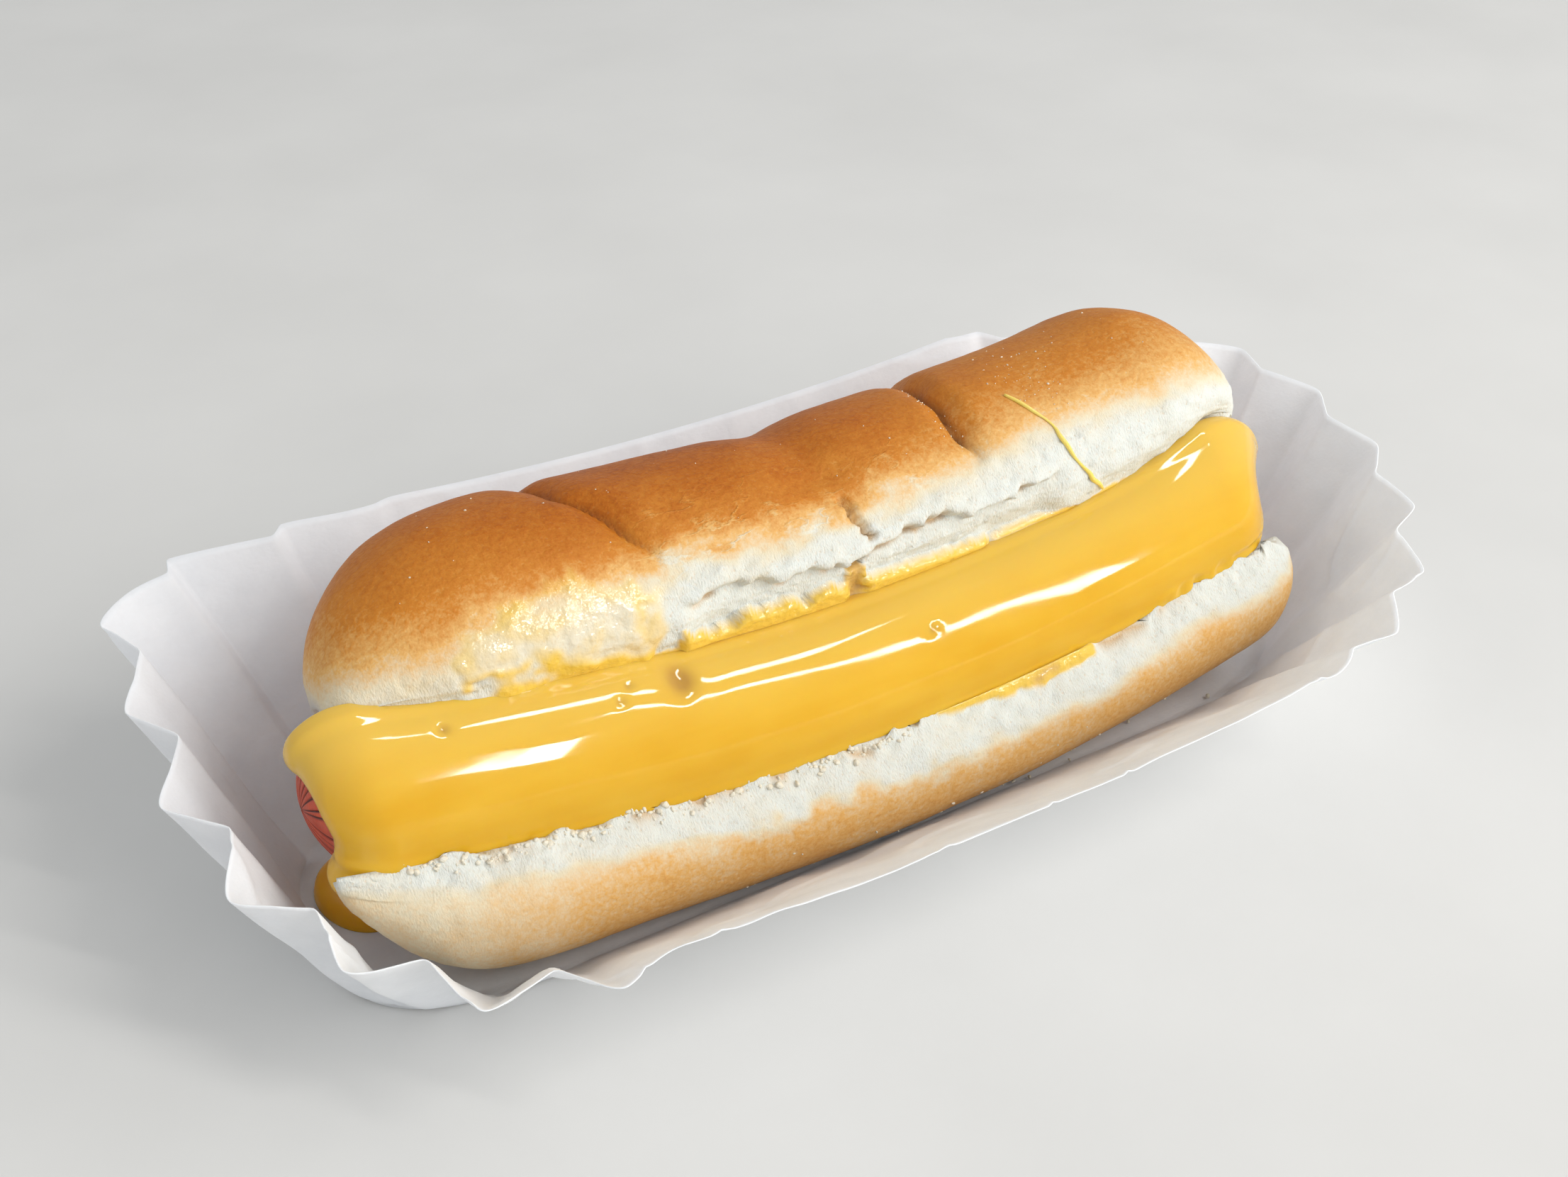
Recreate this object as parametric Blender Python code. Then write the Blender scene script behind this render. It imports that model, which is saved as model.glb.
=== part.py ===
"""Hot dog under melted cheese, lying in a fluted paper case.

Lengths are in millimetres and are turned into metres when a mesh is made.
X runs along the hot dog, Y towards its closed back, Z up. The shapes are drawn
with the sausage's lowest point near X = 10 and the table at Z = 0. At the end
everything moves so that the origin is the bottom centre of the whole.
A cross-section is drawn in "mouth" coordinates about the sausage's centre:
s points out of the bun's side slit, t from the lower lobe to the upper one.
"""

import math

import bmesh
import bpy
import numpy as np

MM = 0.001
GAP = 0.3  # free space between neighbouring pieces
END_CROWDING = 0.7  # how much closer together the sections stand at a piece's ends
SHARP_EDGE = math.radians(50.0)

# The sausage's centre line: a shallow curve with both ends further back and higher
AXIS_HEIGHT = 23.0
AXIS_BOW_BACK = 5.0  # at BOW_REACH from BOW_CENTRE
AXIS_BOW_UP = 5.0
BOW_CENTRE = 10.0
BOW_REACH = 75.0
MOUTH_TILT = math.radians(33.0)  # elevation of the slit's direction
MOUTH_S = np.array((-math.cos(MOUTH_TILT), math.sin(MOUTH_TILT)))
MOUTH_T = np.array((math.sin(MOUTH_TILT), math.cos(MOUTH_TILT)))

# Sausage
SAUSAGE_RADIUS = 10.5
SAUSAGE_LEFT = -67.3
SAUSAGE_RIGHT = 82.5
DOME_LENGTH = 8.5
SAUSAGE_SIDES = 18
DOME_STEPS = 5
SAUSAGE_STEPS = 9

# Bun: outline of the section from the upper lip round the back to the lower lip, as
# (s, t, X of the left end there, X of the right end there). A ring position is a share of
# the way along it, from 0 at the upper lip to 1 at the lower one.
BUN_SECTION = (
    (8.2, 11.6, -60.5, 82.5),
    (11.4, 15.2, -62.0, 85.0),
    (12.0, 20.5, -62.0, 86.5),
    (8.8, 28.0, -62.0, 86.5),
    (0.8, 35.2, -62.0, 86.0),
    (-10.0, 37.4, -61.0, 85.0),
    (-21.0, 34.5, -60.0, 83.0),
    (-28.5, 26.0, -60.0, 83.0),
    (-32.0, 13.0, -60.0, 83.0),
    (-31.0, -2.0, -60.0, 83.0),
    (-26.0, -14.5, -60.0, 83.0),
    (-15.0, -22.5, -60.0, 84.0),
    (-3.0, -24.4, -62.0, 86.0),
    (6.5, -22.0, -65.0, 87.0),
    (12.0, -15.5, -67.5, 86.5),
    (10.9, -7.6, -67.5, 81.5),
)
SECTION_STEPS = 2
BUN_STATIONS = 36
LOBE_SPLIT = (-5.0, 15.0)  # between these t the lower lobe's values turn into the upper one's
BUN_END_LEFT = (26.0, 36.0)  # length of the rounded left end: lower lobe, upper lobe
BUN_END_RIGHT = (13.0, 21.0)
END_BLUNTNESS = 2.6
END_FOLD = 0.15  # the rounded ends close on this share of the bun's thickness
BUN_REST = 1.0  # the underside is pressed flat at this height
BUN_REST_SOFTNESS = 1.2
BUN_CLEARANCE = 0.45  # between the slit's inside and the cheese

# Creases across the crust: places along each (ring position, X), half-width, depth
CREASES = (
    (((0.17, -16.5), (0.23, -20.5), (0.27, -27.0), (0.32, -30.0)), 2.4, 1.5),
    (((0.17, 11.0), (0.32, 10.0)), 5.0, 1.2),
    (((0.17, 34.4), (0.32, 35.5)), 2.2, 2.0),
)
CREASE_STARTS = (0.155, 0.21)  # ring positions between which creases deepen, above the torn side
CREASE_ENDS = (0.42, 0.52)

# Swellings: X, half-length, ring position, its spread, height
SWELLINGS = (
    (-42.0, 9.0, 0.0, 0.08, 1.6),
    (-46.0, 16.0, 0.90, 0.10, 2.2),
    (-58.0, 9.0, 0.86, 0.09, 1.6),
    (60.0, 20.0, 0.3, 0.2, -1.0),
)

# Cheese: a coat over the sausage between the lips, tucked a little under them
LIP_ANGLES = (-36.0, 54.0)  # degrees from s
CHEESE_UNDER_LIPS = 12.0
CHEESE_THICK = 3.2
CHEESE_AT_LIPS = 1.4
CHEESE_AT_ENDS = 1.4  # extra thickness past the bun, on the upper side
BUN_ENDS_AT = (-60.0, 83.0)
CHEESE_EDGE = 2.5  # length of its rounded edge at each end
CHEESE_LEFT_EDGE = ((-44.0, 42.0), (-20.0, 43.0), (0.0, 39.0), (40.0, 35.0), (66.0, 30.0))
CHEESE_RIGHT_EDGE = 14.0  # degrees from the sausage's tip, as in the second numbers above
CHEESE_STATIONS = 34
CHEESE_ACROSS = 10
THINNEST = 0.03

# Puddle of cheese on the paper by the left end
PUDDLE_AT = (-58.3, 16.0)
PUDDLE_SIZE = (7.6, 9.0, 2.6)
PUDDLE_RIM = 0.3
PUDDLE_SIDES = 20
PUDDLE_RINGS = (0.15, 0.5, 0.8, 1.0)

# Paper case: a flat base, plain long walls and pleated ends
PAPER = 0.45
BASE = {"left": -68.0, "right": 94.0, "front": -12.0, "back": 30.0}
BASE_WIDEST = (9.0, 9.0)
BASE_SQUARENESS = (3.0, 4.0, 2.6, 2.6)
BASE_INSETS = (0.6, 1.0)
RIM = {"left": -80.8, "right": 112.0, "front": -38.8, "back": 53.5}
RIM_WIDEST = (15.0, 16.0)  # Y where the left and right ends reach furthest
RIM_SQUARENESS = (2.0, 7.5, 2.0, 2.2)  # left front, left back, right front, right back corner
RIM_HEIGHT = (27.5, 38.0)  # at the front and at the back
RIM_DROP = (3.5, 3.0)  # lower by this at the left front corner and at the right back corner
DROP_LENGTH = 20.0
RIM_SAG = 2.3  # lower by this in the middle of the long walls
STRAIGHT = (-35.0, 62.0)  # the long walls are straight between these X
PLEATS_PER_END = 9.6
PLEAT_PHASE = (-0.10, -0.17)  # left end, right end
PLEAT_DEPTH = (2.9, 1.7)  # how far a fold stands out of the wall at the rim
# Share of each fold that turns inwards, at the start and at the end of the left end's
# outline and of the right end's
PLEAT_LEAN = ((0.17, 0.55), (0.55, 0.75))
LEAN_BETWEEN = (0.40, 0.72)
PLEAT_POINT = 0.95  # nearer 1 makes a sharper fold
PLEAT_FADE = 14.0
BACK_PLEATS = (0.20, 0.32, 0.4)  # up to the first share of the left end the folds keep only the third
END_STEPS = 58
SIDE_STEPS = 8
CASE_UP = 3


def material(name, colour, roughness):
    made = bpy.data.materials.new(name)
    made.use_nodes = True
    shader = made.node_tree.nodes["Principled BSDF"]
    shader.inputs["Base Color"].default_value = (*colour, 1.0)
    shader.inputs["Roughness"].default_value = roughness
    shader.inputs["Metallic"].default_value = 0.0
    return made


def blend(low, high, value):
    """0 below low, 1 above high, straight between."""
    return np.clip((value - low) / (high - low), 0.0, 1.0)


def crowded_ends(count):
    """Numbers from 0 to 1, closer together towards both ends."""
    share = np.linspace(0.0, 1.0, count)
    return END_CROWDING * (0.5 - 0.5 * np.cos(math.pi * share)) + (1 - END_CROWDING) * share


def shell(outer, inner, around=False):
    """Vertices and faces of the closed solid between two grids of the same shape."""
    rows, columns = outer.shape[:2]
    inside = rows * columns
    spans = columns if around else columns - 1
    faces = []
    for i in range(rows - 1):
        for j in range(spans):
            k = (j + 1) % columns
            quad = (i * columns + j, i * columns + k, (i + 1) * columns + k, (i + 1) * columns + j)
            faces.append(quad)
            faces.append(tuple(inside + v for v in reversed(quad)))
    for i in (0, rows - 1):
        for j in range(spans):
            a = i * columns + j
            b = i * columns + (j + 1) % columns
            faces.append((a, b, inside + b, inside + a))
    if not around:
        for j in (0, columns - 1):
            for i in range(rows - 1):
                a = i * columns + j
                faces.append((a, a + columns, inside + a + columns, inside + a))
    return np.concatenate((outer.reshape(-1, 3), inner.reshape(-1, 3))), faces


def smooth_curve(points, steps):
    """Catmull-Rom curve through the points, with the same number of steps in each span."""
    points = np.asarray(points, float)
    padded = np.vstack((2 * points[0] - points[1], points, 2 * points[-1] - points[-2]))
    curve = []
    for i in range(len(points) - 1):
        p0, p1, p2, p3 = padded[i : i + 4]
        for u in np.arange(steps) / steps:
            linear = 2 * p1 + (p2 - p0) * u
            square = (2 * p0 - 5 * p1 + 4 * p2 - p3) * u**2
            cube = (3 * p1 - p0 - 3 * p2 + p3) * u**3
            curve.append(0.5 * (linear + square + cube))
    curve.append(points[-1])
    return np.array(curve)


def place(x, s, t):
    """Points from a place along X and mouth coordinates."""
    bow = ((x - BOW_CENTRE) / BOW_REACH) ** 2
    y = AXIS_BOW_BACK * bow + s * MOUTH_S[0] + t * MOUTH_T[0]
    z = AXIS_HEIGHT + AXIS_BOW_UP * bow + s * MOUTH_S[1] + t * MOUTH_T[1]
    return np.stack((x + 0 * s, y, z), axis=-1)


def polar(radius, degrees):
    """Mouth coordinates from a radius and an angle from s."""
    turn = np.radians(degrees)
    return radius * np.cos(turn), radius * np.sin(turn)


def cheese_height(degrees):
    """Thickness of the cheese over the sausage, between the bun's lips."""
    low = LIP_ANGLES[0] - CHEESE_UNDER_LIPS
    high = LIP_ANGLES[1] + CHEESE_UNDER_LIPS
    share = np.clip(np.abs(2 * degrees - low - high) / (high - low), 0, 1)
    crown = CHEESE_AT_LIPS + (CHEESE_THICK - CHEESE_AT_LIPS) * (1 - share**2)
    return crown * np.sqrt(1 - share**8)


def end_swell(x, left, right, upper):
    """1 along the middle of the bun, falling to 0 along a blunt curve at each end."""
    left_end = BUN_END_LEFT[0] + (BUN_END_LEFT[1] - BUN_END_LEFT[0]) * upper
    right_end = BUN_END_RIGHT[0] + (BUN_END_RIGHT[1] - BUN_END_RIGHT[0]) * upper
    into = np.maximum(1 - blend(0, left_end, x - left), 1 - blend(0, right_end, right - x))
    return np.sqrt(1 - into**END_BLUNTNESS)


def crease_depth(x, ring):
    depth = 0 * x
    for line, half_width, deep in CREASES:
        off = (x - np.interp(ring, *np.transpose(line))) / half_width
        depth = depth + deep * np.exp(-(off**2))
    return depth * blend(*CREASE_STARTS, ring) * (1 - blend(*CREASE_ENDS, ring))


def swelling_height(x, ring):
    height = 0 * x
    for centre, half_length, at_ring, spread, tall in SWELLINGS:
        off = ((x - centre) / half_length) ** 2 + ((ring - at_ring) / spread) ** 2
        height = height + tall * np.exp(-off)
    return height


def slit_outline(section):
    """The slit's inside, from lip to lip round the sausage, point for point with the outside."""
    angle = np.degrees(np.unwrap(np.arctan2(section[:, 1], section[:, 0])))
    degrees = np.linspace(angle[0] + 1, angle[-1] - 1, len(section))
    folded = (degrees + 180) % 360 - 180
    cheese = cheese_height(folded)
    radius = SAUSAGE_RADIUS + GAP + np.where(cheese > 0, cheese + BUN_CLEARANCE, 0)
    return np.stack(polar(radius, degrees), axis=-1)


def outward(section):
    """Unit normals of the section's outline, pointing out of the bun."""
    along = np.gradient(section, axis=0)
    normal = np.stack((along[:, 1], -along[:, 0]), axis=-1)
    return normal / np.linalg.norm(normal, axis=1)[:, None]


def bun_grids():
    rows = smooth_curve(BUN_SECTION, SECTION_STEPS)
    section, left, right = rows[:, :2], rows[:, 2], rows[:, 3]
    slit = slit_outline(section)
    normal = outward(section)
    upper = blend(*LOBE_SPLIT, section[:, 1])
    ring = np.linspace(0, 1, len(section))
    outer = []
    inner = []
    for share in crowded_ends(BUN_STATIONS):
        x = left + (right - left) * (0.002 + 0.996 * share)
        swell = end_swell(x, left, right, upper)[:, None]
        stand = swelling_height(x, ring) - crease_depth(x, ring)
        outside = section + normal * stand[:, None]
        core = slit + END_FOLD * (outside - slit)
        outer.append(place(x, *(core + (outside - core) * swell).T))
        inner.append(place(x, *(core + (slit - core) * swell).T))
    outer = np.array(outer)
    above = (outer[..., 2] - BUN_REST) / BUN_REST_SOFTNESS
    outer[..., 2] = BUN_REST + BUN_REST_SOFTNESS * np.logaddexp(0.0, above)
    return outer, np.array(inner)


def sausage_profile(at):
    """x, radius and outward direction (along X, radial) at a distance along the sausage's side."""
    quarter = SAUSAGE_RADIUS * math.pi / 2
    straight = SAUSAGE_RIGHT - SAUSAGE_LEFT - 2 * DOME_LENGTH
    left_turn = blend(0, quarter, at) * math.pi / 2
    right_turn = blend(0, quarter, at - quarter - straight) * math.pi / 2
    x = SAUSAGE_LEFT + DOME_LENGTH * (1 - np.cos(left_turn) + np.sin(right_turn))
    x = x + np.clip(at - quarter, 0, straight)
    out_radial = np.minimum(np.sin(left_turn), np.cos(right_turn))
    return x, SAUSAGE_RADIUS * out_radial, np.sin(right_turn) - np.cos(left_turn), out_radial


def sausage_length():
    """Distance along the sausage's side from tip to tip."""
    return SAUSAGE_RIGHT - SAUSAGE_LEFT - 2 * DOME_LENGTH + SAUSAGE_RADIUS * math.pi


def sausage_solid():
    quarter = SAUSAGE_RADIUS * math.pi / 2
    dome = quarter * np.arange(1, DOME_STEPS) / DOME_STEPS
    body = np.linspace(quarter, sausage_length() - quarter, SAUSAGE_STEPS)
    at = np.concatenate((dome, body, sausage_length() - dome[::-1]))
    degrees = np.arange(SAUSAGE_SIDES) * 360 / SAUSAGE_SIDES
    x, radius, _, _ = sausage_profile(at)
    rings = np.array([place(a, *polar(r, degrees)) for a, r in zip(x, radius)])
    rows, columns = rings.shape[:2]
    faces = [tuple(range(columns)), tuple((rows - 1) * columns + j for j in range(columns))]
    for i in range(rows - 1):
        for j in range(columns):
            k = (j + 1) % columns
            faces.append((i * columns + j, i * columns + k, (i + 1) * columns + k, (i + 1) * columns + j))
    return rings.reshape(-1, 3), faces


def cheese_grids():
    low = LIP_ANGLES[0] - CHEESE_UNDER_LIPS
    high = LIP_ANGLES[1] + CHEESE_UNDER_LIPS
    across = np.sin(np.linspace(-1, 1, CHEESE_ACROSS + 1) * math.pi / 2)
    degrees = 0.5 * (low + high) + 0.5 * (high - low) * across
    per_degree = SAUSAGE_RADIUS * math.pi / 180
    start = np.interp(degrees, *np.transpose(CHEESE_LEFT_EDGE)) * per_degree
    stop = sausage_length() - CHEESE_RIGHT_EDGE * per_degree
    upper = blend(-10.0, 30.0, degrees)
    top = []
    bottom = []
    for share in crowded_ends(CHEESE_STATIONS):
        at = start + (stop - start) * share
        x, radius, out_x, out_radial = sausage_profile(at)
        past_bun = blend(0, 4.0, np.maximum(BUN_ENDS_AT[0] - x, x - BUN_ENDS_AT[1]))
        height = cheese_height(degrees) + past_bun * upper * CHEESE_AT_ENDS
        inset = blend(0, CHEESE_EDGE, np.minimum(at - start, stop - at))
        height = np.maximum(height * np.sqrt(1 - (1 - inset) ** 2), THINNEST)
        for rows, lift in ((bottom, GAP), (top, GAP + height)):
            point = place(x, *polar(radius + lift * out_radial, degrees))
            point[..., 0] += lift * out_x
            rows.append(point)
    return np.array(top), np.array(bottom)


def puddle_grids():
    turns = np.arange(PUDDLE_SIDES) * 2 * math.pi / PUDDLE_SIDES
    wobble = 1 + 0.08 * np.sin(2 * turns + 0.6) + 0.05 * np.sin(3 * turns)
    floor = PAPER + GAP
    top = []
    bottom = []
    for share in PUDDLE_RINGS:
        x = PUDDLE_AT[0] + PUDDLE_SIZE[0] * share * wobble * np.cos(turns)
        y = PUDDLE_AT[1] + PUDDLE_SIZE[1] * share * wobble * np.sin(turns)
        height = PUDDLE_RIM + PUDDLE_SIZE[2] * math.sqrt(1 - share**2)
        top.append(np.stack((x, y, floor + height + 0 * x), axis=-1))
        bottom.append(np.stack((x, y, floor + 0 * x), axis=-1))
    return np.array(top), np.array(bottom)


def evenly(points, count):
    """The same line as count points, evenly spaced, without its last point."""
    steps = np.linalg.norm(np.diff(points, axis=0), axis=1)
    length = np.concatenate(((0.0,), np.cumsum(steps)))
    at = np.linspace(0, length[-1], count, endpoint=False)
    return np.stack([np.interp(at, length, column) for column in points.T], axis=-1)


def corner(centre, reach, squareness):
    """A quarter of a superellipse, from its X extreme to its Y extreme."""
    turns = np.linspace(0, math.pi / 2, 60)
    x = centre[0] + reach[0] * np.cos(turns) ** (2 / squareness)
    y = centre[1] + reach[1] * np.sin(turns) ** (2 / squareness)
    return np.stack((x, y), axis=-1)


def end_outline(edges, end, widest, squareness):
    """Plan outline of the left (0) or right (1) end, from front to back."""
    reach = edges[("left", "right")[end]] - STRAIGHT[end]
    centre = (STRAIGHT[end], widest[end])
    front = corner(centre, (reach, edges["front"] - centre[1]), squareness[2 * end])
    back = corner(centre, (reach, edges["back"] - centre[1]), squareness[2 * end + 1])
    return np.concatenate((front[::-1], back[1:]))


def outline(edges, widest, squareness):
    """Plan outline of the case at one height: right end, back, left end, front."""
    right_end = end_outline(edges, 1, widest, squareness)
    left_end = end_outline(edges, 0, widest, squareness)[::-1]
    back = np.array((right_end[-1], left_end[0]))
    front = np.array((left_end[-1], right_end[0]))
    parts = ((right_end, END_STEPS), (back, SIDE_STEPS), (left_end, END_STEPS), (front, SIDE_STEPS))
    return np.concatenate([evenly(points, count) for points, count in parts])


def zigzag(turns, inward):
    """Folds between 1 and -1, one for each whole turn, inward for the given share of it."""
    turn = turns % 1.0
    leaning = np.where(turn < inward, turn / inward, 1 + (turn - inward) / (1 - inward))
    return np.arcsin(PLEAT_POINT * np.cos(math.pi * leaning)) / math.asin(PLEAT_POINT)


def pleats():
    """How far the wall's folds stand out at the rim, point for point with the outline."""
    share = np.arange(END_STEPS) / END_STEPS
    fade = np.clip(np.minimum(share, 1 - share) * PLEAT_FADE, 0, 1)
    ends = []
    for depth, phase, lean in zip(PLEAT_DEPTH, PLEAT_PHASE, PLEAT_LEAN):
        inward = lean[0] + (lean[1] - lean[0]) * blend(*LEAN_BETWEEN, share)
        ends.append(depth * fade * zigzag(PLEATS_PER_END * share + phase, inward))
    kept = BACK_PLEATS[2] + (1 - BACK_PLEATS[2]) * blend(*BACK_PLEATS[:2], share)
    plain = np.zeros(SIDE_STEPS)
    return np.concatenate((ends[1], plain, ends[0] * kept, plain))


def case_rings():
    """The sheet's outer face as rings, from inside the base up to the rim."""
    base = outline(BASE, BASE_WIDEST, BASE_SQUARENESS)
    rim = outline(RIM, RIM_WIDEST, RIM_SQUARENESS)
    back = blend(RIM["front"], RIM["back"], rim[:, 1])
    height = RIM_HEIGHT[0] + (RIM_HEIGHT[1] - RIM_HEIGHT[0]) * back
    height -= RIM_DROP[0] * (1 - back) * blend(0, DROP_LENGTH, STRAIGHT[0] - rim[:, 0])
    height -= RIM_DROP[1] * back * blend(0, DROP_LENGTH, rim[:, 0] - STRAIGHT[1])
    middle = 0.5 * (STRAIGHT[0] + STRAIGHT[1])
    height -= RIM_SAG * np.clip(1 - ((rim[:, 0] - middle) / (STRAIGHT[1] - middle)) ** 2, 0, 1)
    out = rim - base
    out /= np.linalg.norm(out, axis=1)[:, None]
    middle = base.mean(axis=0)
    rings = [np.column_stack((middle + (base - middle) * share, 0 * height)) for share in BASE_INSETS]
    for up in np.arange(1, CASE_UP + 1) / CASE_UP:
        plan = base + (rim - base + out * pleats()[:, None]) * up
        rings.append(np.column_stack((plan, height * up)))
    return np.array(rings)


def case_solid():
    below = case_rings()
    rows, columns = below.shape[:2]
    up_wall = np.gradient(below, axis=0)
    round_wall = np.roll(below, -1, axis=1) - np.roll(below, 1, axis=1)
    normal = np.cross(up_wall, round_wall)
    normal *= np.sign(normal[-1, :, 2].mean())
    normal /= np.linalg.norm(normal, axis=2)[..., None]
    normal[: len(BASE_INSETS)] = (0, 0, 1)
    vertices, faces = shell(below + normal * PAPER, below, around=True)
    # A fan round a middle point closes each side of the base, instead of the innermost strip.
    faces = [face for face in faces if any(v % (rows * columns) >= columns for v in face)]
    for start in (0, rows * columns):
        middle = len(vertices)
        vertices = np.vstack((vertices, vertices[start : start + columns].mean(axis=0)))
        for j in range(columns):
            faces.append((start + j, start + (j + 1) % columns, middle))
    return vertices, faces


def make_object(name, vertices, faces, made_of):
    mesh = bpy.data.meshes.new(name)
    mesh.from_pydata((vertices * MM).tolist(), [], faces)
    work = bmesh.new()
    work.from_mesh(mesh)
    bmesh.ops.recalc_face_normals(work, faces=work.faces)
    work.to_mesh(mesh)
    work.free()
    mesh.materials.append(made_of)
    mesh.shade_smooth()
    mesh.set_sharp_from_angle(angle=SHARP_EDGE)
    thing = bpy.data.objects.new(name, mesh)
    bpy.context.scene.collection.objects.link(thing)


def main():
    for thing in list(bpy.data.objects):
        bpy.data.objects.remove(thing)
    cheese = material("cheese", (0.85, 0.45, 0.03), 0.15)
    solids = {
        "bun": (*shell(*bun_grids()), material("bread", (0.62, 0.35, 0.12), 0.6)),
        "sausage": (*sausage_solid(), material("sausage_skin", (0.45, 0.06, 0.03), 0.35)),
        "cheese_sauce": (*shell(*cheese_grids()), cheese),
        "cheese_puddle": (*shell(*puddle_grids(), around=True), cheese),
        "paper_case": (*case_solid(), material("paper", (0.85, 0.85, 0.84), 0.6)),
    }
    points = np.concatenate([vertices for vertices, _, _ in solids.values()])
    low, high = points.min(axis=0), points.max(axis=0)
    origin = np.array((0.5 * (low[0] + high[0]), 0.5 * (low[1] + high[1]), low[2]))
    for name, (vertices, faces, made_of) in solids.items():
        make_object(name, vertices - origin, faces, made_of)


main()
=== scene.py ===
"""Looks of a hot dog under melted cheese in its paper case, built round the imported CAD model.

Shapes are drawn in millimetres, in the same drawing coordinates as the CAD: X along the
hot dog, Y towards its closed back, Z up. A cross-section is drawn in "mouth" coordinates
about the sausage's centre: s points out of the bun's side slit, t from the lower lobe to
the upper one. A place on the bun's outside is given by X and its ring position, the share
of the way from the upper lip (0) round the back to the lower lip (1).
"""

import itertools
import math

import bmesh
import bpy
import numpy as np
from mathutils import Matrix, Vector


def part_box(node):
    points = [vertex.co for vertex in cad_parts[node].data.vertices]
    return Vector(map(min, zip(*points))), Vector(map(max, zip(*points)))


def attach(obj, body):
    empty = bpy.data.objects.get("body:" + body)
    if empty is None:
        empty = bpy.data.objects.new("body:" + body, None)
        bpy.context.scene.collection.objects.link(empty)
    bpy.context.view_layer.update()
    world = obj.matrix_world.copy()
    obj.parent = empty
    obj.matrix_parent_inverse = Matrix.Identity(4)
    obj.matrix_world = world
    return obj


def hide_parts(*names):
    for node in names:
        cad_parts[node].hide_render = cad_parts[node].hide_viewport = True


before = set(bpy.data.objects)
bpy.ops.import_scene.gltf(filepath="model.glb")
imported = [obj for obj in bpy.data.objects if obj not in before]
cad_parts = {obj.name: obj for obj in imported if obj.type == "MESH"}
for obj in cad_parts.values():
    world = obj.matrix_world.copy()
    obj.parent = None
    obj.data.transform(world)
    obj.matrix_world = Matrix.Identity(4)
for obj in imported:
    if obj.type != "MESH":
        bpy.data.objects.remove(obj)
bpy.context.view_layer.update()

MM = 0.001
GAP = 0.3

# Sausage's centre line and the directions of the mouth
AXIS_HEIGHT = 23.0
AXIS_BOW = 5.0
BOW_CENTRE = 10.0
BOW_REACH = 75.0
MOUTH_TILT = math.radians(33.0)
MOUTH_S = np.array((-math.cos(MOUTH_TILT), math.sin(MOUTH_TILT)))
MOUTH_T = np.array((math.sin(MOUTH_TILT), math.cos(MOUTH_TILT)))

# Sausage
SAUSAGE_RADIUS = 10.5
SAUSAGE_LEFT = -67.3
SAUSAGE_RIGHT = 82.5
DOME_LENGTH = 8.5
WRINKLES = 22  # radial wrinkles on its tied ends

# Bun: (s, t, X of the left end there, X of the right end there) from lip to lip
BUN_SECTION = (
    (8.2, 11.6, -60.5, 82.5),
    (11.4, 15.2, -62.0, 85.0),
    (12.0, 20.5, -62.0, 86.5),
    (8.8, 28.0, -62.0, 86.5),
    (0.8, 34.8, -62.0, 86.0),
    (-10.0, 37.4, -61.0, 85.0),
    (-21.0, 34.5, -60.0, 83.0),
    (-28.5, 26.0, -60.0, 83.0),
    (-32.0, 13.0, -60.0, 83.0),
    (-31.0, -2.0, -60.0, 83.0),
    (-26.0, -14.5, -60.0, 83.0),
    (-15.0, -22.5, -60.0, 84.0),
    (-3.0, -24.4, -62.0, 86.0),
    (6.5, -22.0, -65.0, 87.0),
    (12.0, -15.5, -67.5, 86.5),
    (10.9, -7.6, -67.5, 81.5),
)
SECTION_STEPS = 40
BUN_STATIONS = 301
BUN_COLUMNS = 226
# Columns are closest where the bread is torn: (share of the columns, ring position)
RING_SHARES = ((0.0, 0.0), (0.5, 0.34), (0.72, 0.86), (1.0, 1.0))
INSIDE_EVERY = 5  # the hidden inside keeps one station in five
LOBE_SPLIT = (-5.0, 15.0)
BUN_END_LEFT = (26.0, 36.0)
BUN_END_RIGHT = (9.0, 21.0)
END_BLUNTNESS = 2.6
END_FOLD = 0.15
BUN_REST = 1.0
BUN_REST_SOFTNESS = 1.2
BUN_CLEARANCE = 0.45
SWELLINGS = (
    (-42.0, 9.0, 0.0, 0.08, 1.6),
    (-46.0, 16.0, 0.90, 0.10, 2.2),
    (-58.0, 9.0, 0.86, 0.09, 1.6),
    (60.0, 20.0, 0.3, 0.2, -1.0),
    (82.0, 11.0, 0.0, 0.07, -3.0),
)

# Creases across the crust: places along each (ring position, X), half-width, depth,
# and the depth of the sharp line at its bottom, which the bread's material also paints dark as shade
CREASES = (
    (((0.17, -16.5), (0.23, -19.5), (0.27, -23.5), (0.32, -26.0)), 2.4, 1.1, 0.8),
    (((0.17, 11.0), (0.32, 10.0)), 5.0, 1.2, 0.0),
    (((0.17, 34.4), (0.32, 35.5)), 2.2, 2.0, 1.3),
)
CREASE_STARTS = (0.155, 0.21)
CREASE_ENDS = (0.42, 0.52)
SHARP_WIDTH = 0.5

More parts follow.
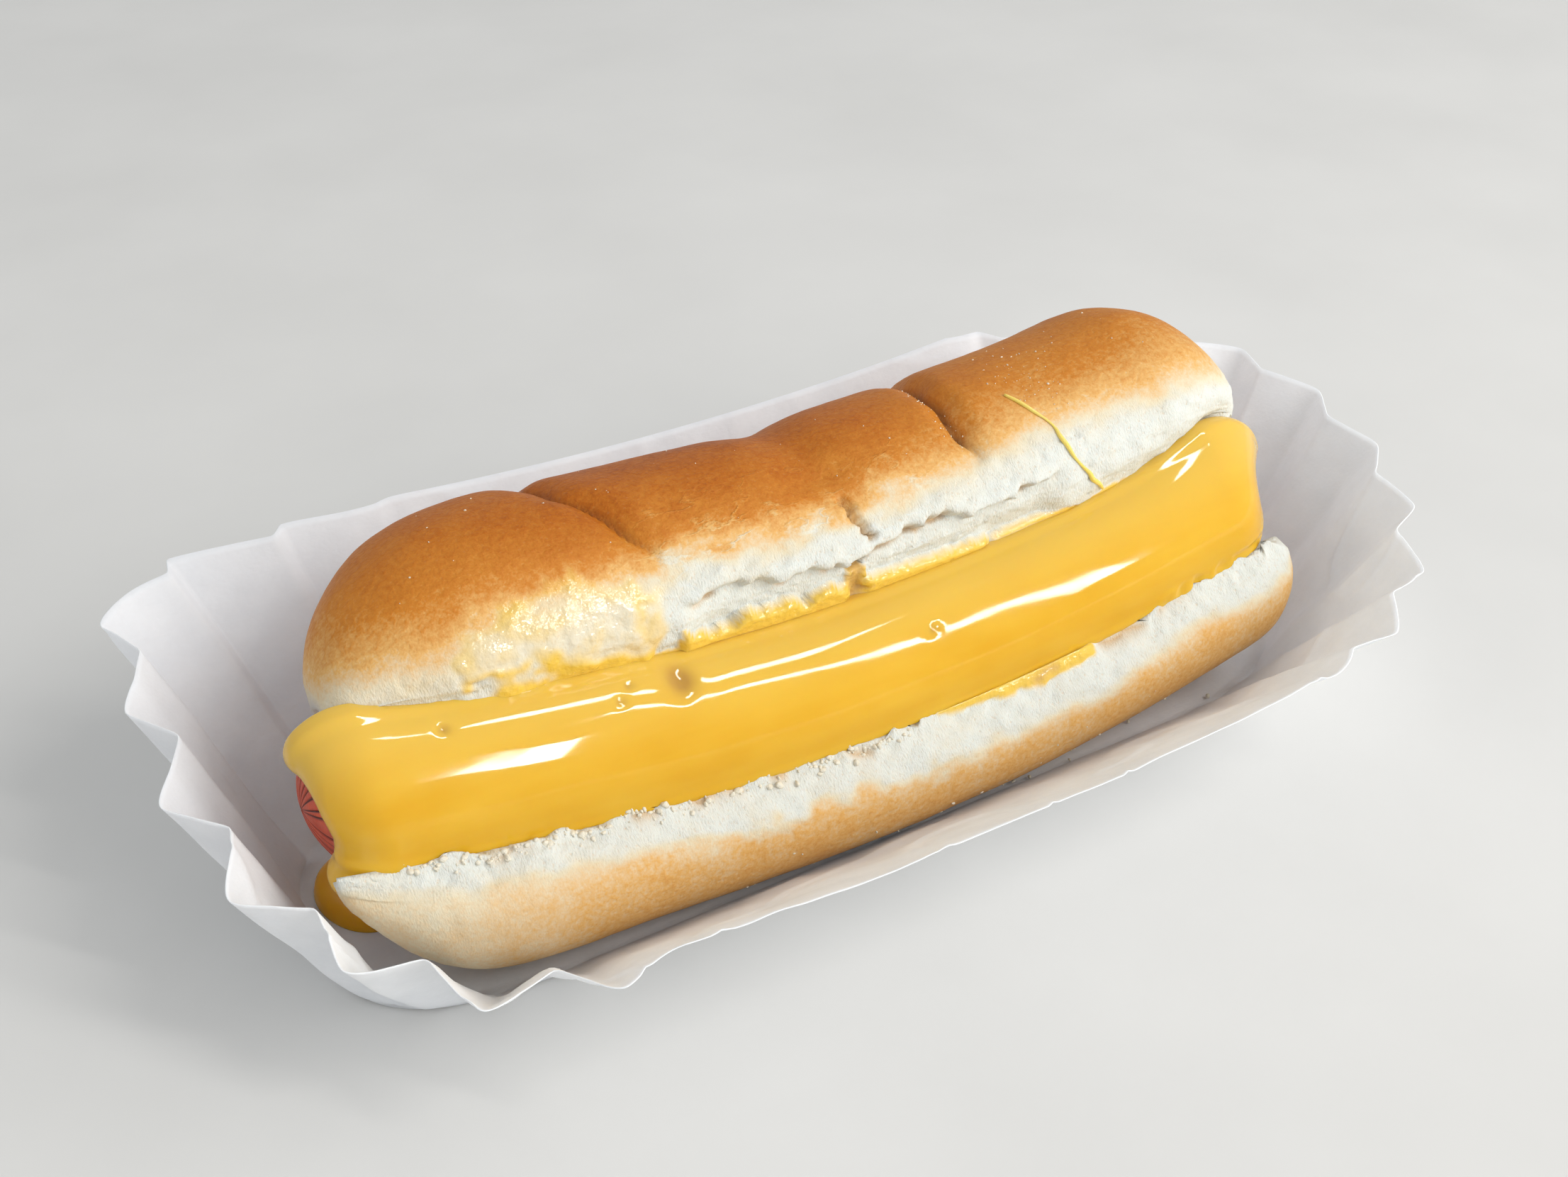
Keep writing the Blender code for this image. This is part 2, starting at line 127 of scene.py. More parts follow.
# Where the crust begins: (X, t) on the upper lobe and (X, ring position) on the lower one,
# and the torn ledge, tear and notch in the pale side
UPPER_CRUST_AT = (
    (-62, 14.0),
    (-50, 15.0),
    (-38, 17.3),
    (-22, 21.6),
    (24, 22.2),
    (50, 22.8),
    (63, 22.8),
    (77, 19.7),
    (86, 17.0),
)
LOWER_CRUST_AT = ((-60, 0.972), (-40, 0.960), (10, 0.943), (50, 0.945), (64, 0.950), (80, 0.935))
CRUST_SLOPE = 0.009  # ring positions per millimetre of t, across the pale side
LEDGE_AT = 0.088
LEDGE_SPAN = (-13.0, 45.0)
LEDGE_DEPTH = 1.7
TEAR = ((0.118, 13.9), (0.172, 12.3))
NOTCH = (10.2, 12.5)
NOTCH_TOP = 0.083
NOTCH_DEPTH = 4.2

# Cheese coat
LIP_ANGLES = (-36.0, 54.0)
CHEESE_UNDER_LIPS = 12.0
CHEESE_THICK = 3.2
CHEESE_AT_LIPS = 1.4
BUN_ENDS_AT = (-60.0, 83.0)
# Swellings of the coat: (X, half-length, degrees, half-width, height)
COAT_SWELLINGS = (
    (-62.0, 6.0, 74.0, 22.0, 2.2),
    (-67.0, 5.0, 0.0, 40.0, -1.2),
    (84.0, 16.0, 60.0, 26.0, 4.4),
    (84.0, 8.0, -32.0, 16.0, 1.0),
    (-62.0, 4.5, -56.0, 16.0, 2.6),
    (-35.0, 9.0, 4.0, 22.0, 0.25),
    (-18.3, 1.7, 35.0, 9.0, -0.7),
    (-49.7, 0.7, 36.0, 3.0, -0.35),
    (-25.2, 0.6, 38.0, 2.5, -0.3),
    (-27.1, 0.6, 30.0, 2.5, -0.3),
    (18.7, 0.7, 17.0, 3.0, -0.3),
)
CHEESE_LEFT_EDGE = ((-84.0, 44.0), (-58.0, 38.0), (-44.0, 42.0), (-20.0, 43.0), (0.0, 39.0), (40.0, 35.0), (66.0, 30.0))
CHEESE_RIGHT_EDGE = 14.0
BUBBLE_LENGTH = 2.0  # the hollows shorter than this are burst bubbles
DRIP_AT = -60.0  # X of the corner that hangs over the lower lobe's tip
DRIP_HALF = 5.0
DRIP_DOWN = 40.0  # degrees further round the sausage
COAT_STATIONS = 280
COAT_ACROSS = 120

# Puddle
PUDDLE_AT = (-58.3, 16.0)
PUDDLE_SIZE = (7.6, 9.0, 2.6)

# Paper case
PAPER = (0.45, 0.16)  # thickness at the base and at the rim
BASE = {"left": -68.0, "right": 94.0, "front": -12.0, "back": 30.0}
BASE_WIDEST = (9.0, 9.0)
BASE_SQUARENESS = (3.0, 4.0, 2.6, 2.6)
RIM = {"left": -80.5, "right": 111.7, "front": -38.7, "back": 53.4}
RIM_WIDEST = (15.0, 16.0)
RIM_SQUARENESS = (2.0, 7.5, 2.0, 2.2)
RIM_HEIGHT = (27.5, 38.0)
RIM_DROP = (3.5, 3.0)
RIM_SAG = 2.3
DROP_LENGTH = 20.0
STRAIGHT = (-35.0, 62.0)
PLEATS_PER_END = 9.6
PLEAT_PHASE = (-0.10, -0.17)
PLEAT_DEPTH = (2.9, 1.7)
# Share of each fold that turns inwards, at both edges of the left end and of the right one
PLEAT_LEAN = ((0.17, 0.55), (0.55, 0.75))
LEAN_BETWEEN = (0.40, 0.72)
PLEAT_POINTS = (0.90, 0.985)  # nearer 1 is sharper: outward folds, inward folds
PLEAT_FADE = 14.0
BACK_PLEATS = (0.20, 0.32, 0.4)
END_STEPS = 330
SIDE_STEPS = 120
CASE_UP = 40

# Camera, from the hot dog
VIEW_AZIMUTH = math.radians(-29.6)
VIEW_PITCH = math.radians(36.5)
VIEW_AT = (4.5, 7.9, 35.2)
VIEW_DISTANCE = 255.0
LENS = 41.45


# ---------------------------------------------------------------- numbers


def step(low, high, value):
    """0 below low, 1 above high, with a soft turn at both."""
    share = np.clip((value - low) / (high - low), 0.0, 1.0)
    return share * share * (3 - 2 * share)


def blend(low, high, value):
    """0 below low, 1 above high, straight between."""
    return np.clip((value - low) / (high - low), 0.0, 1.0)


def within(low, high, soft, value):
    """1 between low and high, fading to 0 over a width at each side."""
    return step(low - soft, low + soft, value) * (1 - step(high - soft, high + soft, value))


def lattice(cells, seed):
    """A fixed number from 0 to 1 for each whole-numbered cell."""
    mixed = cells[..., 0] * 73856093 ^ cells[..., 1] * 19349663 ^ cells[..., 2] * 83492791
    mixed = (mixed ^ seed * 2654435) & 0x7FFFFFFF
    mixed = ((mixed ^ (mixed >> 13)) * 1274126177) & 0x7FFFFFFF
    return ((mixed ^ (mixed >> 16)) & 0xFFFF) / 65535


def noise(points, size, seed=0):
    """Smooth noise from -1 to 1, with lumps of about this size in millimetres."""
    scaled = points / np.asarray(size, float)
    cell = np.floor(scaled).astype(np.int64)
    part = scaled - cell
    part = part**2 * (3 - 2 * part)
    total = 0.0
    for corner in itertools.product((0, 1), repeat=3):
        weight = np.prod(np.where(corner, part, 1 - part), axis=-1)
        total = total + weight * lattice(cell + corner, seed)
    return 2 * total - 1


def layered(points, size, octaves, seed=0):
    """Noise with finer and weaker layers added."""
    size = np.asarray(size, float)
    return sum(noise(points, size / 2**k, seed + k) / 2**k for k in range(octaves))


def lines(points, size, width, seed=0):
    """1 along thin wandering lines, 0 between them."""
    return np.exp(-((noise(points, size, seed) / width) ** 2))


def along_x(x, size, seed=0):
    """Noise that changes only along X."""
    flat = np.stack((x, 0 * x, 0 * x), axis=-1)
    return noise(flat, size, seed)


def smooth_curve(points, steps):
    """Catmull-Rom curve through the points, with the same number of steps in each span."""
    points = np.asarray(points, float)
    padded = np.vstack((2 * points[0] - points[1], points, 2 * points[-1] - points[-2]))
    curve = []
    for i in range(len(points) - 1):
        p0, p1, p2, p3 = padded[i : i + 4]
        for u in np.arange(steps) / steps:
            linear = 2 * p1 + (p2 - p0) * u
            square = (2 * p0 - 5 * p1 + 4 * p2 - p3) * u**2
            cube = (3 * p1 - p0 - 3 * p2 + p3) * u**3
            curve.append(0.5 * (linear + square + cube))
    curve.append(points[-1])
    return np.array(curve)


def crowded_ends(count, crowding=0.4):
    """Numbers from 0 to 1, closer together towards both ends."""
    share = np.linspace(0.0, 1.0, count)
    return crowding * (0.5 - 0.5 * np.cos(math.pi * share)) + (1 - crowding) * share


def place(x, s, t):
    """Points from a place along X and mouth coordinates."""
    bow = AXIS_BOW * ((x - BOW_CENTRE) / BOW_REACH) ** 2
    y = bow + s * MOUTH_S[0] + t * MOUTH_T[0]
    z = AXIS_HEIGHT + bow + s * MOUTH_S[1] + t * MOUTH_T[1]
    return np.stack((x + 0 * s, y, z), axis=-1)


def polar(radius, degrees):
    """Mouth coordinates from a radius and an angle from s."""
    turn = np.radians(degrees)
    return radius * np.cos(turn), radius * np.sin(turn)


def grid_normals(grid):
    """Unit normals of a grid of points, on the side of rows x columns."""
    normal = np.cross(np.gradient(grid, axis=0), np.gradient(grid, axis=1))
    return normal / (np.linalg.norm(normal, axis=-1)[..., None] + 1e-9)


def softened(grid, times):
    """A grid of points with its fine relief smoothed away."""
    for _ in range(times):
        padded = np.pad(grid, ((1, 1), (1, 1), (0, 0)), mode="edge")
        grid = (grid * 2 + padded[:-2, 1:-1] + padded[2:, 1:-1] + padded[1:-1, :-2] + padded[1:-1, 2:]) / 6
    return grid


# ---------------------------------------------------------------- meshes


def grid_faces(rows, columns, start=0, around=False):
    """Faces of a grid of points, numbered from start."""
    faces = []
    for i in range(rows - 1):
        for j in range(columns if around else columns - 1):
            k = (j + 1) % columns
            low, high = start + i * columns, start + (i + 1) * columns
            faces.append((low + j, low + k, high + k, high + j))
    return faces


def shell(outer, inner, every=1, around=False):
    """Vertices and faces of the closed solid between two grids of the same shape.

    The inner one keeps one row in so many, and the edges that join them follow.
    """
    inner = inner[::every]
    rows, columns = outer.shape[:2]
    kept = inner.shape[0]
    inside = rows * columns
    faces = grid_faces(rows, columns, 0, around)
    faces += [face[::-1] for face in grid_faces(kept, columns, inside, around)]
    for i, far in ((0, inside), (rows - 1, inside + (kept - 1) * columns)):
        for j in range(columns if around else columns - 1):
            k = (j + 1) % columns
            faces.append((i * columns + j, far + j, far + k, i * columns + k))
    if not around:
        for j in (0, columns - 1):
            for i in range(kept - 1):
                edge = tuple((i * every + n) * columns + j for n in range(every + 1))
                back = (inside + (i + 1) * columns + j, inside + i * columns + j)
                faces.append(edge + back)
    return np.concatenate((outer.reshape(-1, 3), inner.reshape(-1, 3))), faces


def make_piece(name, vertices, faces, material, slot, node=None, marks=None):
    """A piece in the row's frame. marks holds numbers for each vertex that its material reads."""
    mesh = bpy.data.meshes.new(name)
    mesh.from_pydata(((vertices - ORIGIN) * MM).tolist(), [], faces)
    work = bmesh.new()
    work.from_mesh(mesh)
    bmesh.ops.recalc_face_normals(work, faces=work.faces)
    work.to_mesh(mesh)
    work.free()
    mesh.shade_smooth()
    for mark, values in (marks or {}).items():
        padded = np.zeros(len(mesh.vertices), np.float32)
        padded[: len(values)] = values
        mesh.attributes.new(mark, "FLOAT", "POINT").data.foreach_set("value", padded)
    mesh.materials.append(material)
    piece = bpy.data.objects.new(name, mesh)
    bpy.context.scene.collection.objects.link(piece)
    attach(piece, "root")
    if node:
        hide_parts(node)
    return piece


# ---------------------------------------------------------------- paper case


def evenly(points, count):
    """The same line as count points, evenly spaced, without its last point."""
    steps = np.linalg.norm(np.diff(points, axis=0), axis=1)
    length = np.concatenate(((0.0,), np.cumsum(steps)))
    at = np.linspace(0, length[-1], count, endpoint=False)
    return np.stack([np.interp(at, length, column) for column in points.T], axis=-1)


def corner(centre, reach, squareness):
    """A quarter of a superellipse, from its X extreme to its Y extreme."""
    turns = np.linspace(0, math.pi / 2, 400)
    x = centre[0] + reach[0] * np.cos(turns) ** (2 / squareness)
    y = centre[1] + reach[1] * np.sin(turns) ** (2 / squareness)
    return np.stack((x, y), axis=-1)


def end_outline(edges, end, widest, squareness):
    """Plan outline of the left (0) or right (1) end, from front to back."""
    reach = edges[("left", "right")[end]] - STRAIGHT[end]
    centre = (STRAIGHT[end], widest[end])
    front = corner(centre, (reach, edges["front"] - centre[1]), squareness[2 * end])
    back = corner(centre, (reach, edges["back"] - centre[1]), squareness[2 * end + 1])
    return np.concatenate((front[::-1], back[1:]))


def outline(edges, widest, squareness):
    """Plan outline of the case at one height: right end, back, left end, front."""
    right_end = end_outline(edges, 1, widest, squareness)
    left_end = end_outline(edges, 0, widest, squareness)[::-1]
    back = np.array((right_end[-1], left_end[0]))
    front = np.array((left_end[-1], right_end[0]))
    parts = ((right_end, END_STEPS), (back, SIDE_STEPS), (left_end, END_STEPS), (front, SIDE_STEPS))
    return np.concatenate([evenly(points, count) for points, count in parts])


def pleats():
    """How far the wall's folds stand out at the rim, point for point with the outline."""
    share = np.arange(END_STEPS) / END_STEPS
    fade = np.clip(np.minimum(share, 1 - share) * PLEAT_FADE, 0, 1)
    folds = []
    for depth, phase, lean in zip(PLEAT_DEPTH, PLEAT_PHASE, PLEAT_LEAN):
        turn = (PLEATS_PER_END * share + phase) % 1.0
        inward = lean[0] + (lean[1] - lean[0]) * blend(*LEAN_BETWEEN, share)
        leaning = np.where(turn < inward, turn / inward, 1 + (turn - inward) / (1 - inward))
        swing = np.cos(math.pi * leaning)
        point = np.where(swing > 0, *PLEAT_POINTS)
        folds.append(depth * fade * np.arcsin(point * swing) / np.arcsin(point))
    kept = BACK_PLEATS[2] + (1 - BACK_PLEATS[2]) * blend(*BACK_PLEATS[:2], share)
    plain = np.zeros(SIDE_STEPS)
    return np.concatenate((folds[1], plain, folds[0] * kept, plain))


def case_rings():
    """The sheet's outer face as rings, from inside the base up to the rim, and height shares."""
    base = outline(BASE, BASE_WIDEST, BASE_SQUARENESS)
    rim = outline(RIM, RIM_WIDEST, RIM_SQUARENESS)
    back = blend(RIM["front"], RIM["back"], rim[:, 1])
    height = RIM_HEIGHT[0] + (RIM_HEIGHT[1] - RIM_HEIGHT[0]) * back
    height -= RIM_DROP[0] * (1 - back) * blend(0, DROP_LENGTH, STRAIGHT[0] - rim[:, 0])
    height -= RIM_DROP[1] * back * blend(0, DROP_LENGTH, rim[:, 0] - STRAIGHT[1])
    middle = 0.5 * (STRAIGHT[0] + STRAIGHT[1])
    height -= RIM_SAG * np.clip(1 - ((rim[:, 0] - middle) / (STRAIGHT[1] - middle)) ** 2, 0, 1)
    out = rim - base
    out /= np.linalg.norm(out, axis=1)[:, None]
    middle = base.mean(axis=0)
    shares = [0.0] * 6 + list(np.arange(1, CASE_UP + 1) / CASE_UP)
    insets = (0.02, 0.25, 0.5, 0.75, 0.95, 1.0)
    rings = [np.column_stack((middle + (base - middle) * inset, 0 * height)) for inset in insets]
    for up in shares[6:]:
        plan = base + (rim - base) * up + out * pleats()[:, None] * up**0.6
        rings.append(np.column_stack((plan, height * up)))
    return np.array(rings), np.array(shares)


def build_case():
    below, up = case_rings()
    normal = np.cross(np.gradient(below, axis=0), np.roll(below, -1, axis=1) - np.roll(below, 1, axis=1))
    normal *= np.sign(normal[-1, :, 2].mean())
    normal /= np.linalg.norm(normal, axis=2)[..., None]
    normal[:6] = (0, 0, 1)
    inward = np.clip(up * 3, 0, 1)[:, None]
    crumple = 0.35 * layered(below, (9, 9, 14), 2, 5) + 0.30 * lines(below, (12, 12, 24), 0.06, 9)
    below = below + normal * (crumple * inward)[..., None]
    thick = PAPER[0] + (PAPER[1] - PAPER[0]) * up[:, None, None]
    vertices, faces = shell(below + normal * thick, below, around=True)
    columns = below.shape[1]
    inside = below.shape[0] * columns
    faces = [face for face in faces if any(v % inside >= columns for v in face)]
    faces.append(tuple(range(columns)))
    faces.append(tuple(inside + j for j in range(columns)))
    return vertices, faces


# ---------------------------------------------------------------- bread


def cheese_height(degrees):
    """Thickness of the cheese over the sausage, between the bun's lips."""
    low = LIP_ANGLES[0] - CHEESE_UNDER_LIPS
    high = LIP_ANGLES[1] + CHEESE_UNDER_LIPS
    share = np.clip(np.abs(2 * degrees - low - high) / (high - low), 0, 1)
    crown = CHEESE_AT_LIPS + (CHEESE_THICK - CHEESE_AT_LIPS) * (1 - share**2)
    return crown * np.sqrt(1 - share**8)


def end_swell(x, left, right, upper):
    """1 along the middle of the bun, falling to 0 along a blunt curve at each end."""
    left_end = BUN_END_LEFT[0] + (BUN_END_LEFT[1] - BUN_END_LEFT[0]) * upper
    right_end = BUN_END_RIGHT[0] + (BUN_END_RIGHT[1] - BUN_END_RIGHT[0]) * upper
    into = np.maximum(1 - blend(0, left_end, x - left), 1 - blend(0, right_end, right - x))
    return np.sqrt(1 - into**END_BLUNTNESS)


def crease_depth(x, ring):
    """The creases' depth, and how near a place is to the sharp line at their bottom."""
    depth = 0 * x
    sharp = 0 * x
    for line, half_width, deep, cut in CREASES:
        off = x - np.interp(ring, *np.transpose(line)) + 0.5 * along_x(40 * ring, 1.0)
        depth = depth + deep * np.exp(-((off / half_width) ** 2))
        sharp = sharp + cut * np.exp(-((off / SHARP_WIDTH) ** 2))
    fade = blend(*CREASE_STARTS, ring) * (1 - blend(*CREASE_ENDS, ring))
    return depth * fade, sharp * fade


def swelling_height(x, ring):
    height = 0 * x
    for centre, half_length, at_ring, spread, tall in SWELLINGS:
        off = ((x - centre) / half_length) ** 2 + ((ring - at_ring) / spread) ** 2
        height = height + tall * np.exp(-off)
    return height


def slit_outline(section, ring):
    """The slit's inside, from lip to lip round the sausage, point for point with the outside."""
    angle = np.degrees(np.unwrap(np.arctan2(section[:, 1], section[:, 0])))
    degrees = angle[0] + 1 + (angle[-1] - angle[0] - 2) * ring
    folded = (degrees + 180) % 360 - 180
    cheese = cheese_height(folded)
    radius = SAUSAGE_RADIUS + GAP + np.where(cheese > 0, cheese + BUN_CLEARANCE, 0)
    return np.stack(polar(radius, degrees), axis=-1)


def outward(section):
    """Unit normals of the section's outline, pointing out of the bun."""
    along = np.gradient(section, axis=0)
    normal = np.stack((along[:, 1], -along[:, 0]), axis=-1)
    return normal / np.linalg.norm(normal, axis=1)[:, None]


def bun_form():
    """The bun's smooth outside and inside as grids, with X and ring position at each point."""
    rows = smooth_curve(BUN_SECTION, SECTION_STEPS)
    ring = np.interp(np.linspace(0, 1, BUN_COLUMNS), *np.transpose(RING_SHARES))
    rows = np.stack([np.interp(ring, np.linspace(0, 1, len(rows)), column) for column in rows.T], axis=-1)
    section, left, right = rows[:, :2], rows[:, 2], rows[:, 3]
    slit = slit_outline(section, ring)
    normal = outward(section)
    upper = blend(*LOBE_SPLIT, section[:, 1])
    outer = []
    inner = []
    stations = []
    for share in crowded_ends(BUN_STATIONS):
        x = left + (right - left) * (0.002 + 0.996 * share)
        swell = end_swell(x, left, right, upper)[:, None]
        depth, _ = crease_depth(x, ring)
        outside = section + normal * (swelling_height(x, ring) - depth)[:, None]
        core = slit + END_FOLD * (outside - slit)
        outer.append(place(x, *(core + (outside - core) * swell).T))
        inner.append(place(x, *(core + (slit - core) * swell).T))
        stations.append(x)
    outer = np.array(outer)
    above = (outer[..., 2] - BUN_REST) / BUN_REST_SOFTNESS
    outer[..., 2] = BUN_REST + BUN_REST_SOFTNESS * np.logaddexp(0.0, above)
    x = np.array(stations)
    return outer, np.array(inner), x, ring + 0 * x


def mouth_height(points):
    """The t coordinate of points."""
    bow = AXIS_BOW * ((points[..., 0] - BOW_CENTRE) / BOW_REACH) ** 2
    return (points[..., 1] - bow) * MOUTH_T[0] + (points[..., 2] - AXIS_HEIGHT - bow) * MOUTH_T[1]


def bread_bake(x, ring, form):
    """How baked each place is: 0 white crumb, 1 the darkest crust."""
    worn = within(-22, 24, 8, x)
    ragged = 0.008 * along_x(x, 9.0, 3) + (0.006 + 0.010 * worn) * layered(form, (3.5, 2.5, 2.5), 3, 4)
    height = mouth_height(form) - np.interp(x, *np.transpose(UPPER_CRUST_AT))
    behind = step(0.27, 0.42, ring)
    past = CRUST_SLOPE * height * (1 - behind) + 0.14 * behind + ragged
    past = past / (1.9 - 0.9 * step(-45, -20, x))
    upper = np.interp(past, (-0.035, -0.015, 0.0, 0.02, 0.045, 0.085, 0.15), (0, 0.06, 0.24, 0.46, 0.62, 0.76, 0.86))
    upper = upper - 0.10 * step(60, 84, x) * (1 - step(0.2, 0.34, ring))
    upper = upper * (1 - 0.20 * step(5, 55, x))
    past = np.interp(x, *np.transpose(LOWER_CRUST_AT)) - ring + ragged
    lower = np.interp(past, (-0.02, -0.008, 0.0, 0.012, 0.03, 0.12, 0.3), (0, 0.05, 0.22, 0.35, 0.39, 0.43, 0.9))
    lower = lower * (1 - 0.40 * step(0.6, 0.75, ring) * (1 - step(-60, -28, x)))
    return np.minimum(upper, lower)


def ledge_at(x):
    """Ring position of the ragged edge of the torn skin."""
    wander = 0.020 * along_x(x, 11.0, 31) + 0.010 * along_x(x, 4.3, 32) + 0.009 * along_x(x, 1.3, 36)
    return LEDGE_AT + wander


def torn_relief(x, ring, form, crumb):
    """Height of the torn crumb, and how much painted shade each place gets in the ledge's crevice, the tear, the notch
    and the lower lip's groove.
    """
    lumps = 0.26 * layered(form, (2.2, 1.8, 1.8), 3, 11) + 0.35 * noise(form, (7.0, 4.0, 4.0), 12)
    fissures = -0.45 * lines(form, (4.0, 12.0, 12.0), 0.05, 21) * within(-62, -40, 3, x)
    split = step(0.15, 0.5, noise(form, 7.0, 24))
    fissures = fissures - 0.4 * lines(form, (2.4, 9.0, 9.0), 0.05, 23) * split * (ring < 0.3)
    past = ring - ledge_at(x)
    stepped = (1 - step(-0.004, 0.004, past)) * within(*LEDGE_SPAN, 3, x)
    fibres = 0.14 * noise(form, (0.8, 5.0, 5.0), 33) * stepped * (ring < 0.3)
    crevice = np.exp(-(((past + 0.006) / 0.007) ** 2)) * step(-0.1, 0.35, along_x(x, 3.6, 37))
    crevice = crevice * within(*LEDGE_SPAN, 2, x)
    off = (x - np.interp(ring, *np.transpose(TEAR))) + 0.7 * along_x(110 * ring, 1.0, 34)
    tear = np.exp(-((off / 0.5) ** 2)) * within(0.112, 0.178, 0.006, ring)
    notch = within(*NOTCH, 0.3, x + 0.5 * along_x(120 * ring, 1.0, 35))
    notch = notch * (1 - step(NOTCH_TOP - 0.006, NOTCH_TOP + 0.006, ring))
    puffed = 0.5 * np.exp(-(((past - 0.016) / 0.016) ** 2)) * within(*LEDGE_SPAN, 3, x)
    height = crumb * (lumps + fissures + fibres + puffed - LEDGE_DEPTH * stepped - 0.8 * crevice)
    edge = np.exp(-np.abs(1 - ring - 0.007 - 0.006 * along_x(x, 2.0, 38)) / 0.006)
    edge = edge * step(-0.1, 0.4, along_x(x, 4.0, 39)) * within(-52, 60, 8, x)
    frayed = np.exp(-(((1 - ring) / 0.03) ** 2)) * layered(form, 1.6, 2, 40)
    painted_crevice_shade = np.clip(crevice + 1.3 * tear + notch + edge, 0, 1)
    return height + 0.35 * frayed - 1.9 * tear - NOTCH_DEPTH * notch - 0.5 * edge, painted_crevice_shade


def cheese_film(x, ring, form):
    """Thickness of the cheese that clings to the bread, below 0 for none, and where it is thin."""
    edge = along_x(x, 4.0, 82) + 0.7 * along_x(x, 1.4, 85)
    blotch = layered(form, 3.5, 2, 81)
    melt = within(-43, -19, 3.5, x + 3 * blotch) * (1 - step(0.12, 0.185, ring + 0.03 * blotch))
    lips = (
        (within(-16, 10.3, 0.7, x), 0.034, 0.020, 1.0),
        (within(9.9, 12.8, 0.4, x), 0.060, 0.004, 0.2),
        (within(12.3, 34, 1.5, x), 0.030 - 0.0009 * np.clip(x - 12, 0, 22), 0.005, 0.8),
        (within(-64, 90, 2.0, x), 0.003, 0.004, 0.3),
    )
    thin = melt * step(0.055, 0.085, ring + 0.02 * blotch + 0.05 * step(-32, -24, x))
    lumps = 0.55 * noise(form, 4.2, 83) + 0.20 * noise(form, 1.9, 84) + 0.10 * noise(form, 1.0, 86)
    height = (0.45 - 0.30 * thin) * (2 * melt - 0.9) + melt * lumps * (1 - 0.45 * thin)
    for along, reach, raggedness, thick in lips:
        cover = along * (1 - step(-0.006, 0.006, ring - reach + raggedness * edge))
        height = np.maximum(height, thick * (2 * cover - 1) - 0.2 * (cover < 0.5))
    reach = 0.982 + 0.016 * (1 - blend(16, 34, x)) - 0.004 * edge
    spill = within(16.5, 45.0, 1.0, x) * step(-0.010, 0.010, ring - reach)
    mound = 0.55 + 0.25 * noise(form, 3.0, 87)
    return np.where(ring < 0.5, height, mound * (2 * spill - 1)), thin


def bread_surface():
    """The bun's finished outside and inside, and the marks that its material reads."""
    form, inner, x, ring = bun_form()
    bake = bread_bake(x, ring, form)
    crumb = 1 - step(0.05, 0.35, bake)
    _, sharp = crease_depth(x, ring)
    torn, crevice = torn_relief(x, ring, form, crumb)
    worn = within(-18, 24, 8, x) * within(0.11, 0.24, 0.05, ring)
    height = torn + 0.12 * (1 - crumb) * layered(form, 7.0, 3, 43) - sharp
    film, thin = cheese_film(x, ring, form)
    covered = step(-0.2, 0.2, film)
    height = height * (1 - (0.75 - 0.5 * thin) * covered) + np.maximum(film, 0)
    tips = step(0.02, 0.25, np.linalg.norm(np.gradient(form, axis=1), axis=-1))
    outer = form + grid_normals(form) * (height * tips)[..., None]
    across = np.gradient(form, axis=1)
    across = across / (np.linalg.norm(across, axis=-1)[..., None] + 1e-9)
    upper_lip = 0.5 * along_x(x, 1.6, 51) * np.exp(-ring / 0.015)
    lower_lip = (1.1 * along_x(x, 2.6, 52) + 0.7 * along_x(x, 1.0, 53)) * np.exp((ring - 1) / 0.015)
    outer = outer + across * ((upper_lip + lower_lip) * (1 - covered) * tips)[..., None]
    # crevice marks the ledge's crevice, the tear, the notch and the lower lip's groove, which the material paints brown
    # as shade
    # deep marks the creases' sharp bottom lines, which the material paints dark as shade
    marks = {"bake": bake * (1 - 0.5 * thin), "deep": np.clip(sharp, 0, 1), "crevice": crevice, "worn": worn}
    marks.update(film=covered, thin=thin)
    return outer, inner, x, ring, marks


# ---------------------------------------------------------------- sausage and cheese


def sausage_length():
    """Distance along the sausage's side from tip to tip."""
    return SAUSAGE_RIGHT - SAUSAGE_LEFT - 2 * DOME_LENGTH + SAUSAGE_RADIUS * math.pi


def sausage_profile(at):
    """x, radius and outward direction (along X, radial) at a distance along the sausage's side."""
    quarter = SAUSAGE_RADIUS * math.pi / 2
    straight = SAUSAGE_RIGHT - SAUSAGE_LEFT - 2 * DOME_LENGTH
    left_turn = blend(0, quarter, at) * math.pi / 2
    right_turn = blend(0, quarter, at - quarter - straight) * math.pi / 2
    x = SAUSAGE_LEFT + DOME_LENGTH * (1 - np.cos(left_turn) + np.sin(right_turn))
    x = x + np.clip(at - quarter, 0, straight)
    out_radial = np.minimum(np.sin(left_turn), np.cos(right_turn))
    return x, SAUSAGE_RADIUS * out_radial, np.sin(right_turn) - np.cos(left_turn), out_radial


def build_sausage():
    turns = np.linspace(0, 360, 240, endpoint=False)
    at = sausage_length() * crowded_ends(160, 0.9)[1:-1]
    x, radius, _, out_radial = sausage_profile(at)
    near_tip = step(0.0, 0.12, 1 - out_radial)[:, None] * (out_radial[:, None] < 0.9999)
    waver = along_x(turns / 25 + 0 * radius[:, None], 1.0, 61)
    folds = np.abs(np.sin(np.radians(turns) * WRINKLES / 2 + 1.5 * waver))
    creased = near_tip * (1 - folds) ** 3
    grid = place(x[:, None] + 0 * turns, *polar(radius[:, None] - 1.0 * creased, turns))
    faces = grid_faces(*grid.shape[:2], around=True)
    faces.append(tuple(range(len(turns))))
    faces.append(tuple((len(at) - 1) * len(turns) + j for j in range(len(turns))))
    # The tied ends' wrinkles are also marked for painted shade in the material
    return grid.reshape(-1, 3), faces, {"crease": creased.reshape(-1)}


